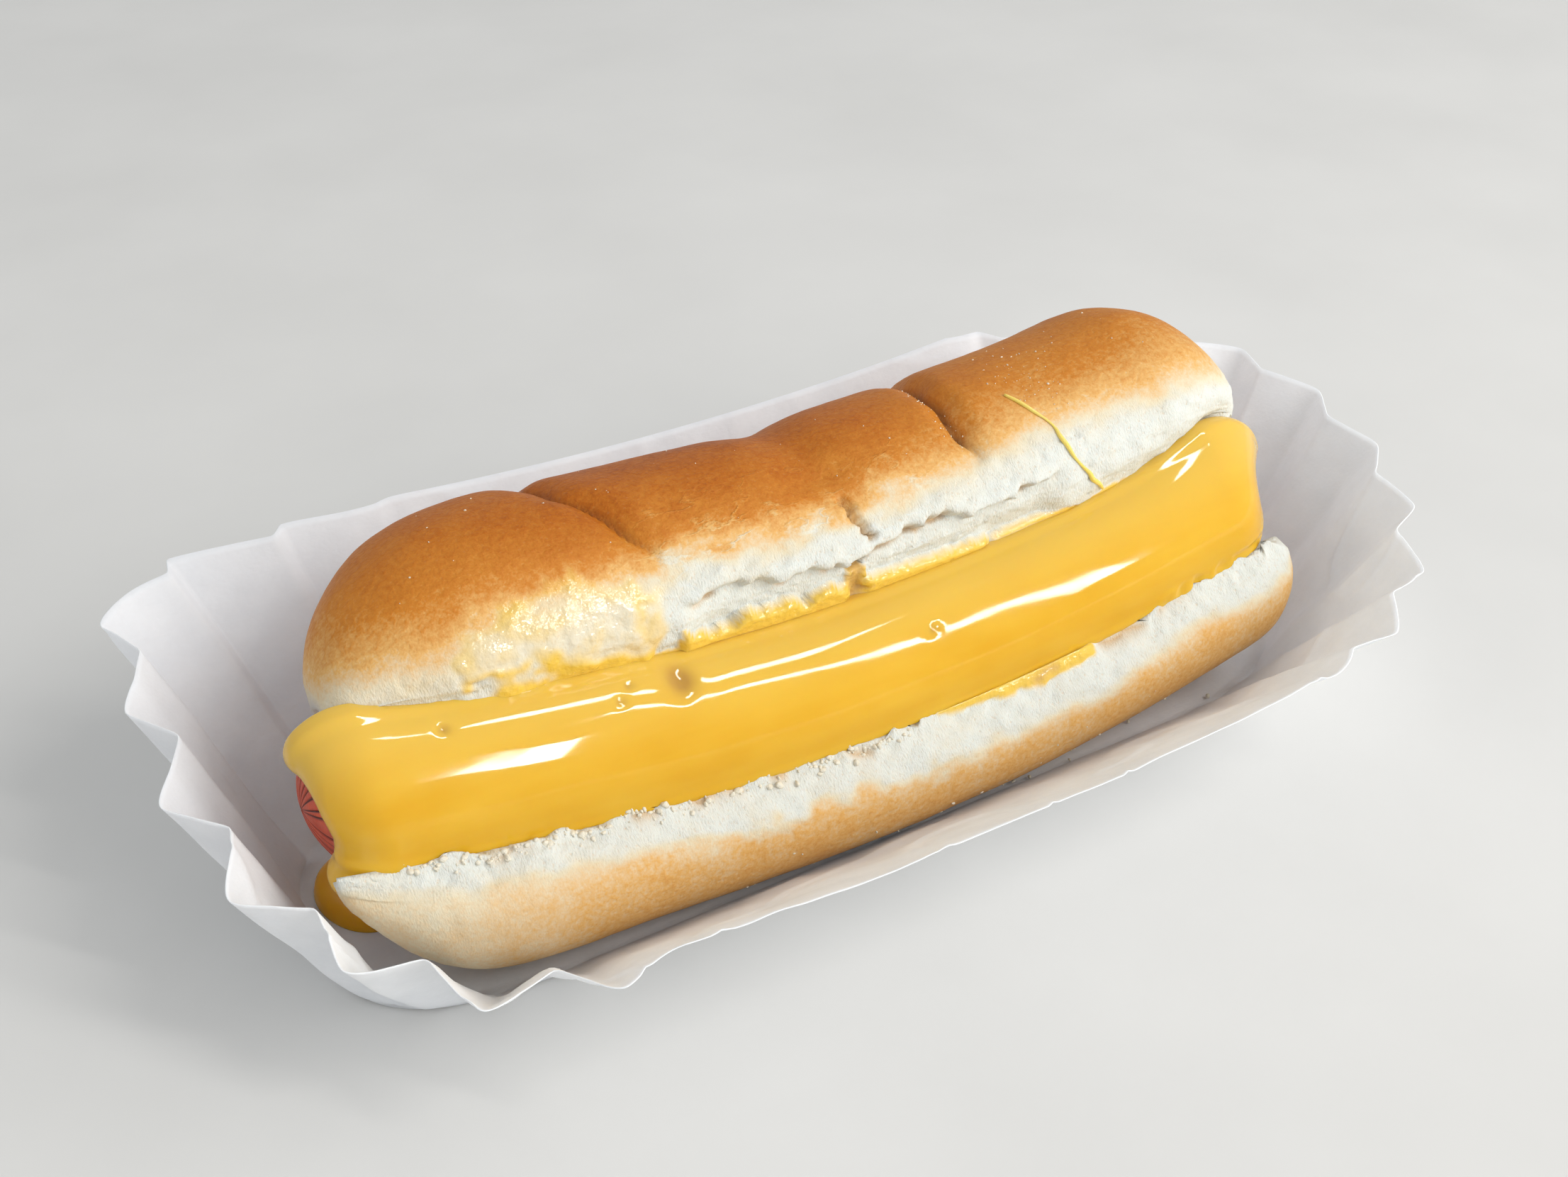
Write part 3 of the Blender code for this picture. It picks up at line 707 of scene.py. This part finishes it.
def coat_grids():
    """The cheese over the sausage: its top and its underside."""
    across = np.sin(np.linspace(-1, 1, COAT_ACROSS + 1) * math.pi / 2 * 0.97) / math.sin(math.pi / 2 * 0.97)
    upper = []
    bubbles = []
    per_degree = SAUSAGE_RADIUS * math.pi / 180
    high = LIP_ANGLES[1] + CHEESE_UNDER_LIPS
    top = []
    bottom = []
    for share in crowded_ends(COAT_STATIONS, 0.7):
        rough_x = SAUSAGE_LEFT + 5 + (SAUSAGE_RIGHT - SAUSAGE_LEFT - 8) * share
        drip = DRIP_DOWN * math.exp(-(((rough_x - DRIP_AT) / DRIP_HALF) ** 4))
        low = LIP_ANGLES[0] - CHEESE_UNDER_LIPS - drip
        degrees = 0.5 * (low + high) + 0.5 * (high - low) * across
        # Painted reflection: the coat's upper part is marked to be painted paler, as if it mirrored the pale bread
        # above it
        upper.append(step(-5, 45, degrees))
        wave = 8.0 * np.cos(np.radians(degrees - 35) * 5.5)
        start = np.interp(degrees, *np.transpose(CHEESE_LEFT_EDGE)) * per_degree
        stop = sausage_length() - (CHEESE_RIGHT_EDGE - wave) * per_degree
        at = start + (stop - start) * share
        x, radius, out_x, out_radial = sausage_profile(at)
        height = cheese_height(np.maximum(degrees, LIP_ANGLES[0] - 4))
        hollow = 0 * x
        for middle, length, turn, width, tall in COAT_SWELLINGS:
            bulge = tall * np.exp(-(((x - middle) / length) ** 2) - ((degrees - turn) / width) ** 2)
            height = height + bulge
            hollow = hollow - bulge * (length < BUBBLE_LENGTH)
        bubbles.append(hollow)
        rise = 0.7 + 0.9 * (1 - step(-27, -11, x))
        height = height + rise * step(2, 58, degrees) + 0.5 * step(22, 40, -degrees)
        height = height + 0.5 * step(44, 53, degrees) + 0.35 * step(30, 37, -degrees)
        left_round = 2.5 + 2.5 * step(0, 40, degrees)
        edge = np.minimum(np.minimum((at - start) / left_round, (stop - at) / 2.5), (degrees - low) / 10)
        inset = np.clip(np.minimum(edge, (high - degrees) / 6), 0, 1)
        rounded = np.sqrt(1 - (1 - inset) ** 2)
        flat = place(x, *polar(radius, degrees))
        streaks = 0.22 * noise(flat, (26, 9, 9), 71) + 0.05 * noise(flat, (12, 4, 4), 72)
        froth = 0.35 * layered(flat, 1.6, 2, 73) * within(58, 80, 4, x) * within(-36, -27, 3, degrees)
        ends = 0.3 * np.cos(np.radians(degrees - 35) * 5.5) * step(76, 83, x)
        height = np.maximum((height + streaks + froth + ends) * rounded, 0.02)
        for rows, lift in ((bottom, GAP), (top, GAP + height)):
            point = place(x, *polar(radius + lift * out_radial, degrees))
            point[..., 0] += lift * out_x
            rows.append(point)
    marks = {"upper": np.array(upper).reshape(-1), "bubble": np.clip(2 * np.array(bubbles), 0, 1).reshape(-1)}
    return np.array(top), np.array(bottom), marks


def build_puddle():
    turns = np.arange(96) * 2 * math.pi / 96
    wobble = 1 + 0.08 * np.sin(2 * turns + 0.6) + 0.05 * np.sin(3 * turns)
    floor = PAPER[0] + 0.05
    top = []
    bottom = []
    for share in np.linspace(0.02, 1, 24):
        x = PUDDLE_AT[0] + PUDDLE_SIZE[0] * share * wobble * np.cos(turns)
        y = PUDDLE_AT[1] + PUDDLE_SIZE[1] * share * wobble * np.sin(turns)
        height = 0.1 + (PUDDLE_SIZE[2] + 0.2) * (1 - share**4) ** 0.5
        top.append(np.stack((x, y, floor + height + 0 * x), axis=-1))
        bottom.append(np.stack((x, y, floor + 0 * x), axis=-1))
    vertices, faces = shell(np.array(top), np.array(bottom), around=True)
    return vertices, faces


# ---------------------------------------------------------------- small things


def tube(points, radii, sides=10):
    """A closed tube along points."""
    along = np.gradient(points, axis=0)
    along /= np.linalg.norm(along, axis=1)[:, None]
    side = np.cross(along, (0, 0, 1.0))
    side /= np.linalg.norm(side, axis=1)[:, None]
    up = np.cross(side, along)
    turns = np.arange(sides) * 2 * math.pi / sides
    rings = points[:, None] + radii[:, None, None] * (
        side[:, None] * np.cos(turns)[:, None] + up[:, None] * np.sin(turns)[:, None]
    )
    faces = grid_faces(*rings.shape[:2], around=True)
    faces.append(tuple(range(sides)))
    faces.append(tuple((len(points) - 1) * sides + j for j in range(sides)))
    return rings.reshape(-1, 3), faces


def surface_at(outer, x, ring, at_x, at_ring):
    """The point of the bun's outside nearest to a place, and the normal there."""
    off = np.abs(x - at_x) + 200 * np.abs(ring - at_ring)
    i, j = np.unravel_index(off.argmin(), off.shape)
    return outer[i, j], grid_normals(outer[i - 2 : i + 3, j - 2 : j + 3])[2, 2]


def build_strand(outer, x, ring):
    """A thread of cheese that lies over the upper lobe."""
    path = smooth_curve(((44.0, 0.225), (47.4, 0.175), (48.5, 0.135), (51.5, 0.07), (54.6, 0.012)), 12)
    points = []
    for at_x, at_ring in path:
        point, normal = surface_at(outer, x, ring, at_x, at_ring)
        points.append(point + 0.15 * normal)
    points = smooth_curve(np.array(points)[::4], 6)
    share = np.linspace(0, 1, len(points))
    radii = 0.22 + 0.08 * np.sin(share * 17) + 0.12 * share
    return tube(points, radii)


def build_blobs(places, sizes, seed):
    """Little irregular lumps at these places."""
    random = np.random.default_rng(seed)
    ball = bmesh.new()
    bmesh.ops.create_icosphere(ball, subdivisions=2, radius=1.0)
    shape = np.array([v.co for v in ball.verts])
    sides = [tuple(v.index for v in face.verts) for face in ball.faces]
    ball.free()
    vertices = []
    faces = []
    for number, (centre, size) in enumerate(zip(places, sizes)):
        stretch = random.uniform(0.5, 1.3, 3)
        lump = shape * (1 + 0.45 * noise(shape + 7.0 * number, 0.9, seed)[:, None])
        vertices.append(centre + size * lump * stretch)
        faces += [tuple(number * len(shape) + v for v in side) for side in sides]
    return np.concatenate(vertices), faces


def build_flour(outer, x, ring):
    """Specks of flour on the crust, most of them on the right and along the last crease."""
    random = np.random.default_rng(5)
    spots = [(random.normal(50, 3.5), random.normal(0.25, 0.03)) for _ in range(60)]
    spots += [(33.2 + random.normal(0, 0.8), random.uniform(0.18, 0.33)) for _ in range(50)]
    spots += [(random.uniform(-50, 75), random.uniform(0.18, 0.42)) for _ in range(60)]
    places = [surface_at(outer, x, ring, *spot)[0] for spot in spots]
    return build_blobs(places, random.uniform(0.04, 0.15, len(places)), 6)


def build_crumbs(outer, x, ring):
    """Crumbs along the lower lip, under the bun's edge and on the paper."""
    random = np.random.default_rng(8)
    spots = [(random.uniform(-60, 12), 1 - abs(random.normal(0, 0.008))) for _ in range(260)]
    spots += [(random.uniform(-20, 75), random.uniform(0.80, 0.90)) for _ in range(50)]
    places = [surface_at(outer, x, ring, *spot)[0] for spot in spots]
    sizes = list(0.12 + 0.38 * random.uniform(0, 1, 260) ** 2) + list(random.uniform(0.08, 0.25, 50))
    for _ in range(14):
        places.append(np.array((random.uniform(-30, 85), random.uniform(-17, -8), 1.0)))
        sizes.append(random.uniform(0.15, 0.4))
    return build_blobs(places, sizes, 9)


# ---------------------------------------------------------------- materials


class Material:
    """A new material with short ways to add nodes to it."""

    def __init__(self, name):
        self.made = bpy.data.materials.new(name)
        self.made.use_nodes = True
        self.nodes = self.made.node_tree.nodes
        self.links = self.made.node_tree.links
        self.shader = self.nodes["Principled BSDF"]
        self.object = self.nodes.new("ShaderNodeTexCoord").outputs["Object"]

    def add(self, kind, output, inputs, **settings):
        """A node's output. inputs gives each socket a value or another node's output."""
        node = self.nodes.new("ShaderNode" + kind)
        for key, value in settings.items():
            setattr(node, key, value)
        self.fill(node, inputs)
        return node.outputs[output]

    def fill(self, node, inputs):
        for key, value in inputs.items():
            if isinstance(value, bpy.types.NodeSocket):
                self.links.new(value, node.inputs[key])
            else:
                node.inputs[key].default_value = value

    def mark(self, name):
        return self.add("Attribute", "Fac", {}, attribute_name=name)

    def noise(self, size, detail=3.0, stretch=(1, 1, 1)):
        """Noise from 0 to 1 with lumps of about size millimetres, drawn out by stretch."""
        scale = tuple(1 / (size * MM * part) for part in stretch)
        place = self.add("VectorMath", "Vector", {0: self.object, 1: scale}, operation="MULTIPLY")
        return self.add("TexNoise", "Fac", {"Vector": place, "Scale": 1.0, "Detail": detail})

    def pores(self, size):
        """0 at the middle of small cells of this size, up to 1 at their edges."""
        scale = 1 / (size * MM)
        return self.add("TexVoronoi", "Distance", {"Vector": self.object, "Scale": scale})

    def math(self, operation, first, second, third=0.0):
        return self.add("Math", 0, {0: first, 1: second, 2: third}, operation=operation)

    def between(self, value, low, high, to_low=0.0, to_high=1.0):
        inputs = {"Value": value, "From Min": low, "From Max": high, "To Min": to_low, "To Max": to_high}
        return self.add("MapRange", "Result", inputs)

    def ramp(self, factor, stops):
        """A colour for factor, from (position, colour) stops."""
        node = self.nodes.new("ShaderNodeValToRGB")
        elements = node.color_ramp.elements
        while len(elements) < len(stops):
            elements.new(0.5)
        for element, (position, colour) in zip(elements, stops):
            element.position = position
            element.color = (*colour, 1.0)
        self.links.new(factor, node.inputs["Fac"])
        return node.outputs["Color"]

    def mix(self, factor, first, second):
        node = self.nodes.new("ShaderNodeMix")
        node.data_type = "RGBA"
        for key, value in (("Factor", factor), (6, first), (7, second)):
            socket = node.inputs[key]
            if isinstance(value, bpy.types.NodeSocket):
                self.links.new(value, socket)
            else:
                socket.default_value = value
        return node.outputs[2]

    def mix_vectors(self, factor, first, second):
        node = self.nodes.new("ShaderNodeMix")
        node.data_type = "VECTOR"
        self.links.new(factor, node.inputs["Factor"])
        self.links.new(first, node.inputs[4])
        self.links.new(second, node.inputs[5])
        return node.outputs[1]

    def swing(self, noise, amount, value):
        """value moved up and down by noise, by half of amount each way."""
        return self.math("MULTIPLY_ADD", self.math("SUBTRACT", noise, 0.5), amount, value)

    def ridges(self, noise, width):
        """1 along thin lines where noise crosses its middle, 0 between them."""
        return self.between(self.math("ABSOLUTE", self.math("SUBTRACT", noise, 0.5), 0.0), width, 0.0)

    def bump(self, height, distance, strength=1.0):
        """A normal from height, whose 0 to 1 stands for distance in millimetres."""
        return self.add("Bump", "Normal", {"Height": height, "Distance": distance * MM, "Strength": strength})

    def finish(self, **inputs):
        """Fills the shader's sockets, named with _ for a space, and gives the material."""
        self.fill(self.shader, {key.replace("_", " "): value for key, value in inputs.items()})
        return self.made


def srgb(red, green, blue):
    """A linear colour from an everyday 0 to 255 one."""
    return tuple(((c / 255 + 0.055) / 1.055) ** 2.4 if c > 10 else c / 3295 for c in (red, green, blue))


CHEESE_DEEP = (0.70, 0.375, 0.013)
CHEESE_PALE = (0.75, 0.445, 0.032)
# Paler yellow painted on the coat's upper part as a reflection of the bread
CHEESE_PAINTED_REFLECTION = (0.76, 0.50, 0.085)
BREAD_COLOURS = (
    (0.00, (0.715, 0.73, 0.68)),
    (0.20, (0.73, 0.64, 0.46)),
    (0.40, (0.72, 0.41, 0.13)),
    (0.60, (0.57, 0.205, 0.020)),
    (0.80, (0.45, 0.122, 0.004)),
    (1.00, (0.26, 0.050, 0.001)),
)


def bread_material():
    m = Material("bread_looks")
    bake, film, worn = m.mark("bake"), m.mark("film"), m.mark("worn")
    crust = m.between(bake, 0.10, 0.40)
    blotches = m.noise(7.0, 3.0)
    grain = m.noise(0.8, 6.0)
    speckle = m.noise(0.30, 2.0)
    fibre = m.noise(0.55, 5.0, stretch=(0.4, 1, 1))
    flakes = m.ridges(m.noise(4.5, 6.0, stretch=(2.2, 1, 1)), 0.022)
    flakes = m.math("MULTIPLY", flakes, m.math("MULTIPLY", worn, m.between(m.noise(5.0), 0.42, 0.58)))
    varied = m.swing(blotches, 0.20, bake)
    varied = m.swing(grain, m.between(crust, 0, 1, 0.05, 0.30), varied)
    varied = m.swing(speckle, m.between(crust, 0, 1, 0.02, 0.18), varied)
    varied = m.math("MULTIPLY_ADD", flakes, -0.14, varied)
    colour = m.ramp(varied, BREAD_COLOURS)
    pores = m.pores(1.0)
    # Painted shade: the crumb's pores and the gaps between its fibres, and less so the crust's pores, are painted
    # darker brown
    hollow = m.math("MULTIPLY", m.between(pores, 0.22, 0.05), m.between(crust, 0, 1, 0.30, 0.10))
    hollow = m.math("MULTIPLY_ADD", m.between(fibre, 0.45, 0.3), m.between(crust, 0, 1, 0.22, 0.0), hollow)
    colour = m.mix(hollow, colour, (0.66, 0.43, 0.21, 1))
    # Painted shade: the sharp line at the bottom of each crease is painted near-black
    colour = m.mix(m.math("MULTIPLY", m.mark("deep"), 0.6), colour, (0.13, 0.035, 0.008, 1))
    clear = m.math("MULTIPLY", m.mark("thin"), m.between(m.noise(5.0, 3.0), 0.35, 0.55, 0.55, 0.95))
    glaze = m.mix(0.22, colour, (0.84, 0.56, 0.12, 1))
    colour = m.mix(film, colour, m.mix(clear, (0.80, 0.53, 0.075, 1), glaze))
    # Painted shade: the crevices, tear, notch and lower lip's groove are painted brown
    colour = m.mix(m.math("MULTIPLY", m.mark("crevice"), 0.75), colour, (0.60, 0.36, 0.13, 1))
    fluff = m.math("ADD", fibre, m.math("MULTIPLY", m.between(pores, 0.0, 0.35), 0.3))
    soft = m.bump(fluff, 0.35, 0.7)
    skin_height = m.math("ADD", grain, m.math("MULTIPLY", speckle, 0.3))
    skin = m.bump(m.math("ADD", skin_height, m.math("MULTIPLY", flakes, 0.6)), 0.20, 0.8)
    wet = m.bump(m.noise(1.6, 3.0), 0.55, 0.8)
    rough = m.math("ADD", m.between(crust, 0, 1, 0.85, 0.46), m.math("MULTIPLY", grain, 0.1))
    return m.finish(
        Base_Color=colour,
        Roughness=m.between(film, 0, 1, rough, 0.09),
        Specular_IOR_Level=0.22,
        Coat_Weight=m.math("MULTIPLY", film, 0.8),
        Coat_Roughness=0.05,
        Coat_Normal=wet,
        Subsurface_Weight=0.15,
        Subsurface_Radius=(1.0, 0.8, 0.6),
        Subsurface_Scale=0.8 * MM,
        Normal=m.mix_vectors(film, m.mix_vectors(crust, soft, skin), wet),
    )


def cheese_material(name, deep, pale):
    m = Material(name)
    streaks = m.noise(4.0, 3.0, stretch=(5, 1, 1))
    cloud = m.noise(14.0, 2.0)
    mixed = m.math("ADD", m.math("MULTIPLY", streaks, 0.5), m.math("MULTIPLY", cloud, 0.5))
    colour = m.ramp(mixed, ((0.35, deep), (0.65, pale)))
    # Painted reflection: the coat's upper part is painted paler yellow
    colour = m.mix(m.math("MULTIPLY", m.mark("upper"), 0.8), colour, (*CHEESE_PAINTED_REFLECTION, 1))
    colour = m.mix(m.math("MULTIPLY", m.mark("bubble"), 0.8), colour, (0.45, 0.23, 0.05, 1))
    normal = m.bump(m.noise(3.0, 2.0, stretch=(4, 1, 1)), 0.06, 0.4)
    return m.finish(
        Base_Color=colour,
        Roughness=m.between(m.noise(3.0, 3.0), 0.3, 0.7, 0.04, 0.08),
        Specular_IOR_Level=0.5,
        IOR=1.42,
        Subsurface_Weight=0.35,
        Subsurface_Radius=(1.0, 0.55, 0.12),
        Subsurface_Scale=2.0 * MM,
        Normal=normal,
    )


def sausage_material():
    m = Material("sausage_looks")
    crease = m.mark("crease")
    base = m.ramp(m.noise(2.0, 4.0), ((0.3, (0.46, 0.045, 0.012)), (0.7, (0.62, 0.085, 0.028))))
    # Painted shade: the wrinkles on the tied ends are painted almost black
    colour = m.mix(m.math("MULTIPLY", crease, 1.6), base, (0.07, 0.006, 0.004, 1))
    return m.finish(
        Base_Color=colour,
        Roughness=m.between(m.noise(1.0, 3.0), 0.3, 0.7, 0.28, 0.42),
        Subsurface_Weight=0.15,
        Subsurface_Radius=(1.0, 0.3, 0.2),
        Subsurface_Scale=1.0 * MM,
        Normal=m.bump(m.noise(0.5, 4.0), 0.12, 0.6),
    )


def paper_material():
    m = Material("paper_looks")
    fibre = m.noise(0.45, 5.0, stretch=(2.2, 1, 1))
    cloud = m.noise(9.0, 4.0)
    colour = m.ramp(cloud, ((0.3, srgb(226, 230, 236)), (0.7, srgb(238, 242, 248))))
    colour = m.mix(m.math("MULTIPLY", fibre, 0.10), colour, (*srgb(214, 212, 206), 1))
    made = m.finish(
        Base_Color=colour,
        Roughness=m.between(fibre, 0.3, 0.7, 0.55, 0.75),
        Specular_IOR_Level=0.3,
        Subsurface_Weight=0.7,
        Subsurface_Radius=(1.0, 1.0, 1.0),
        Subsurface_Scale=0.7 * MM,
        Normal=m.bump(m.math("ADD", fibre, m.math("MULTIPLY", m.noise(2.5, 3.0), 1.5)), 0.10, 0.5),
    )
    return made


def speck_material(name, colour):
    m = Material(name)
    tone = m.ramp(m.noise(0.5, 2.0), ((0.3, tuple(0.85 * c for c in colour)), (0.7, colour)))
    return m.finish(Base_Color=tone, Roughness=m.between(m.noise(0.3, 2.0), 0, 1, 0.75, 0.95), Normal=m.bump(m.noise(0.2), 0.1))


def floor_material():
    m = Material("floor_looks")
    tone = m.ramp(m.noise(60.0, 4.0), ((0.3, srgb(214, 213, 210)), (0.7, srgb(220, 219, 216))))
    return m.finish(Base_Color=tone, Roughness=m.between(m.noise(8.0, 3.0), 0, 1, 0.6, 0.75))


# ---------------------------------------------------------------- stage


def direction(azimuth, elevation):
    """Unit vector from the hot dog, turned from the front towards +X, then up."""
    turn, rise = math.radians(azimuth), math.radians(elevation)
    return np.array((math.sin(turn) * math.cos(rise), -math.cos(turn) * math.cos(rise), math.sin(rise)))


def aim(thing, at, towards, roll=0.0):
    """Puts a camera or light at a place, looking at another."""
    from mathutils import Matrix, Vector

    look = Vector(towards) - Vector(at)
    turned = look.to_track_quat("-Z", "Y").to_matrix().to_4x4()
    thing.matrix_world = Matrix.Translation(at) @ turned @ Matrix.Rotation(roll, 4, "Z")


def softbox(name, azimuth, elevation, distance, size, power, roll=0.0, lights=True, shines=True):
    """A soft light. Without lights it only shows as a highlight, without shines it shows none."""
    light = bpy.data.lights.new(name, "AREA")
    light.shape = "RECTANGLE"
    light.size, light.size_y = size
    light.energy = power
    light.color = (1.0, 0.98, 0.95)
    box = bpy.data.objects.new(name, light)
    box.visible_diffuse = lights
    box.visible_glossy = shines
    bpy.context.scene.collection.objects.link(box)
    aim(box, direction(azimuth, elevation) * distance, (0, 0, 0.03), math.radians(roll))


def build_camera():
    data = bpy.data.cameras.new("camera")
    data.lens = LENS
    data.sensor_width = 36.0
    data.clip_start = 0.01
    camera = bpy.data.objects.new("camera", data)
    bpy.context.scene.collection.objects.link(camera)
    centre = (np.array(VIEW_AT) - ORIGIN) * MM
    back = direction(math.degrees(VIEW_AZIMUTH), math.degrees(VIEW_PITCH))
    aim(camera, centre + back * VIEW_DISTANCE * MM, centre)
    bpy.context.scene.camera = camera


def build_floor():
    mesh = bpy.data.meshes.new("floor")
    half = 3.0
    mesh.from_pydata([(-half, -half, 0), (half, -half, 0), (half, half, 0), (-half, half, 0)], [], [(0, 1, 2, 3)])
    mesh.materials.append(floor_material())
    floor = bpy.data.objects.new("floor", mesh)
    floor.location.z = -0.0002
    bpy.context.scene.collection.objects.link(floor)


def build_light():
    world = bpy.data.worlds.new("world")
    world.use_nodes = True
    world.node_tree.nodes["Background"].inputs["Color"].default_value = (0.95, 0.975, 1.0, 1)
    world.node_tree.nodes["Background"].inputs["Strength"].default_value = 0.58
    bpy.context.scene.world = world
    bpy.context.scene.view_settings.view_transform = "Standard"
    softbox("fill", 42, 32, 1.2, (1.4, 0.9), 8.2, shines=False)
    softbox("low", 20, 5, 1.2, (1.6, 0.5), 2.6, shines=False)
    softbox("left", -105, 42, 1.2, (0.8, 0.8), 1.1, shines=False)
    softbox("strip", 38.5, 42, 1.0, (0.040, 0.78), 3.4)
    softbox("overhead", 80, 70.8, 1.0, (0.08, 0.24), 1.8, roll=-31, lights=False)
    softbox("window", 13.0, 43.5, 1.0, (0.065, 0.26), 2.7, roll=-24, lights=False)



# ---------------------------------------------------------------- the hot dog

case_low, case_high = (np.array(corner_point) for corner_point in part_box("paper_case"))
case_points, case_faces = build_case()
ORIGIN = 0.5 * (case_points.min(axis=0) + case_points.max(axis=0)) - 0.5 * (case_low + case_high) / MM
ORIGIN[2] = 0.0
COAT_SIDE = 1.0


def build_bread(bread, strand, flour, crumb):
    outer, inner, x, ring, marks = bread_surface()
    vertices, faces = shell(outer, inner, INSIDE_EVERY)
    flat_marks = {name: values.reshape(-1) for name, values in marks.items()}
    make_piece("bun_bread", vertices, faces, bread, "bread", "bun", flat_marks)
    make_piece("cheese_strand", *build_strand(outer, x, ring), strand, "cheese")
    make_piece("flour_specks", *build_flour(outer, x, ring), flour, "bread")
    make_piece("bread_crumbs", *build_crumbs(outer, x, ring), crumb, "bread")


def build_hot_dog():
    cheese = cheese_material("cheese_looks", CHEESE_DEEP, CHEESE_PALE)
    # Painted light: the puddle's cheese is painted brighter and more orange than the coat's, to make up for the shade
    # of the case's wall
    puddle = cheese_material("puddle_looks", (0.90, 0.42, 0.014), (0.95, 0.48, 0.025))
    build_bread(
        bread_material(),
        cheese_material("strand_looks", (0.90, 0.62, 0.12), (0.94, 0.70, 0.20)),
        speck_material("flour_looks", srgb(236, 222, 196)),
        speck_material("crumb_looks", srgb(232, 226, 208)),
    )
    points, faces, marks = build_sausage()
    make_piece("sausage_meat", points, faces, sausage_material(), "sausage_skin", "sausage", marks)
    top, bottom, marks = coat_grids()
    make_piece("cheese_coat", *shell(top, bottom), cheese, "cheese", "cheese_sauce", marks)
    make_piece("cheese_pool", *build_puddle(), puddle, "cheese", "cheese_puddle")
    make_piece("case_paper", case_points, case_faces, paper_material(), "paper", "paper_case")


build_camera()
build_light()
build_floor()
build_hot_dog()
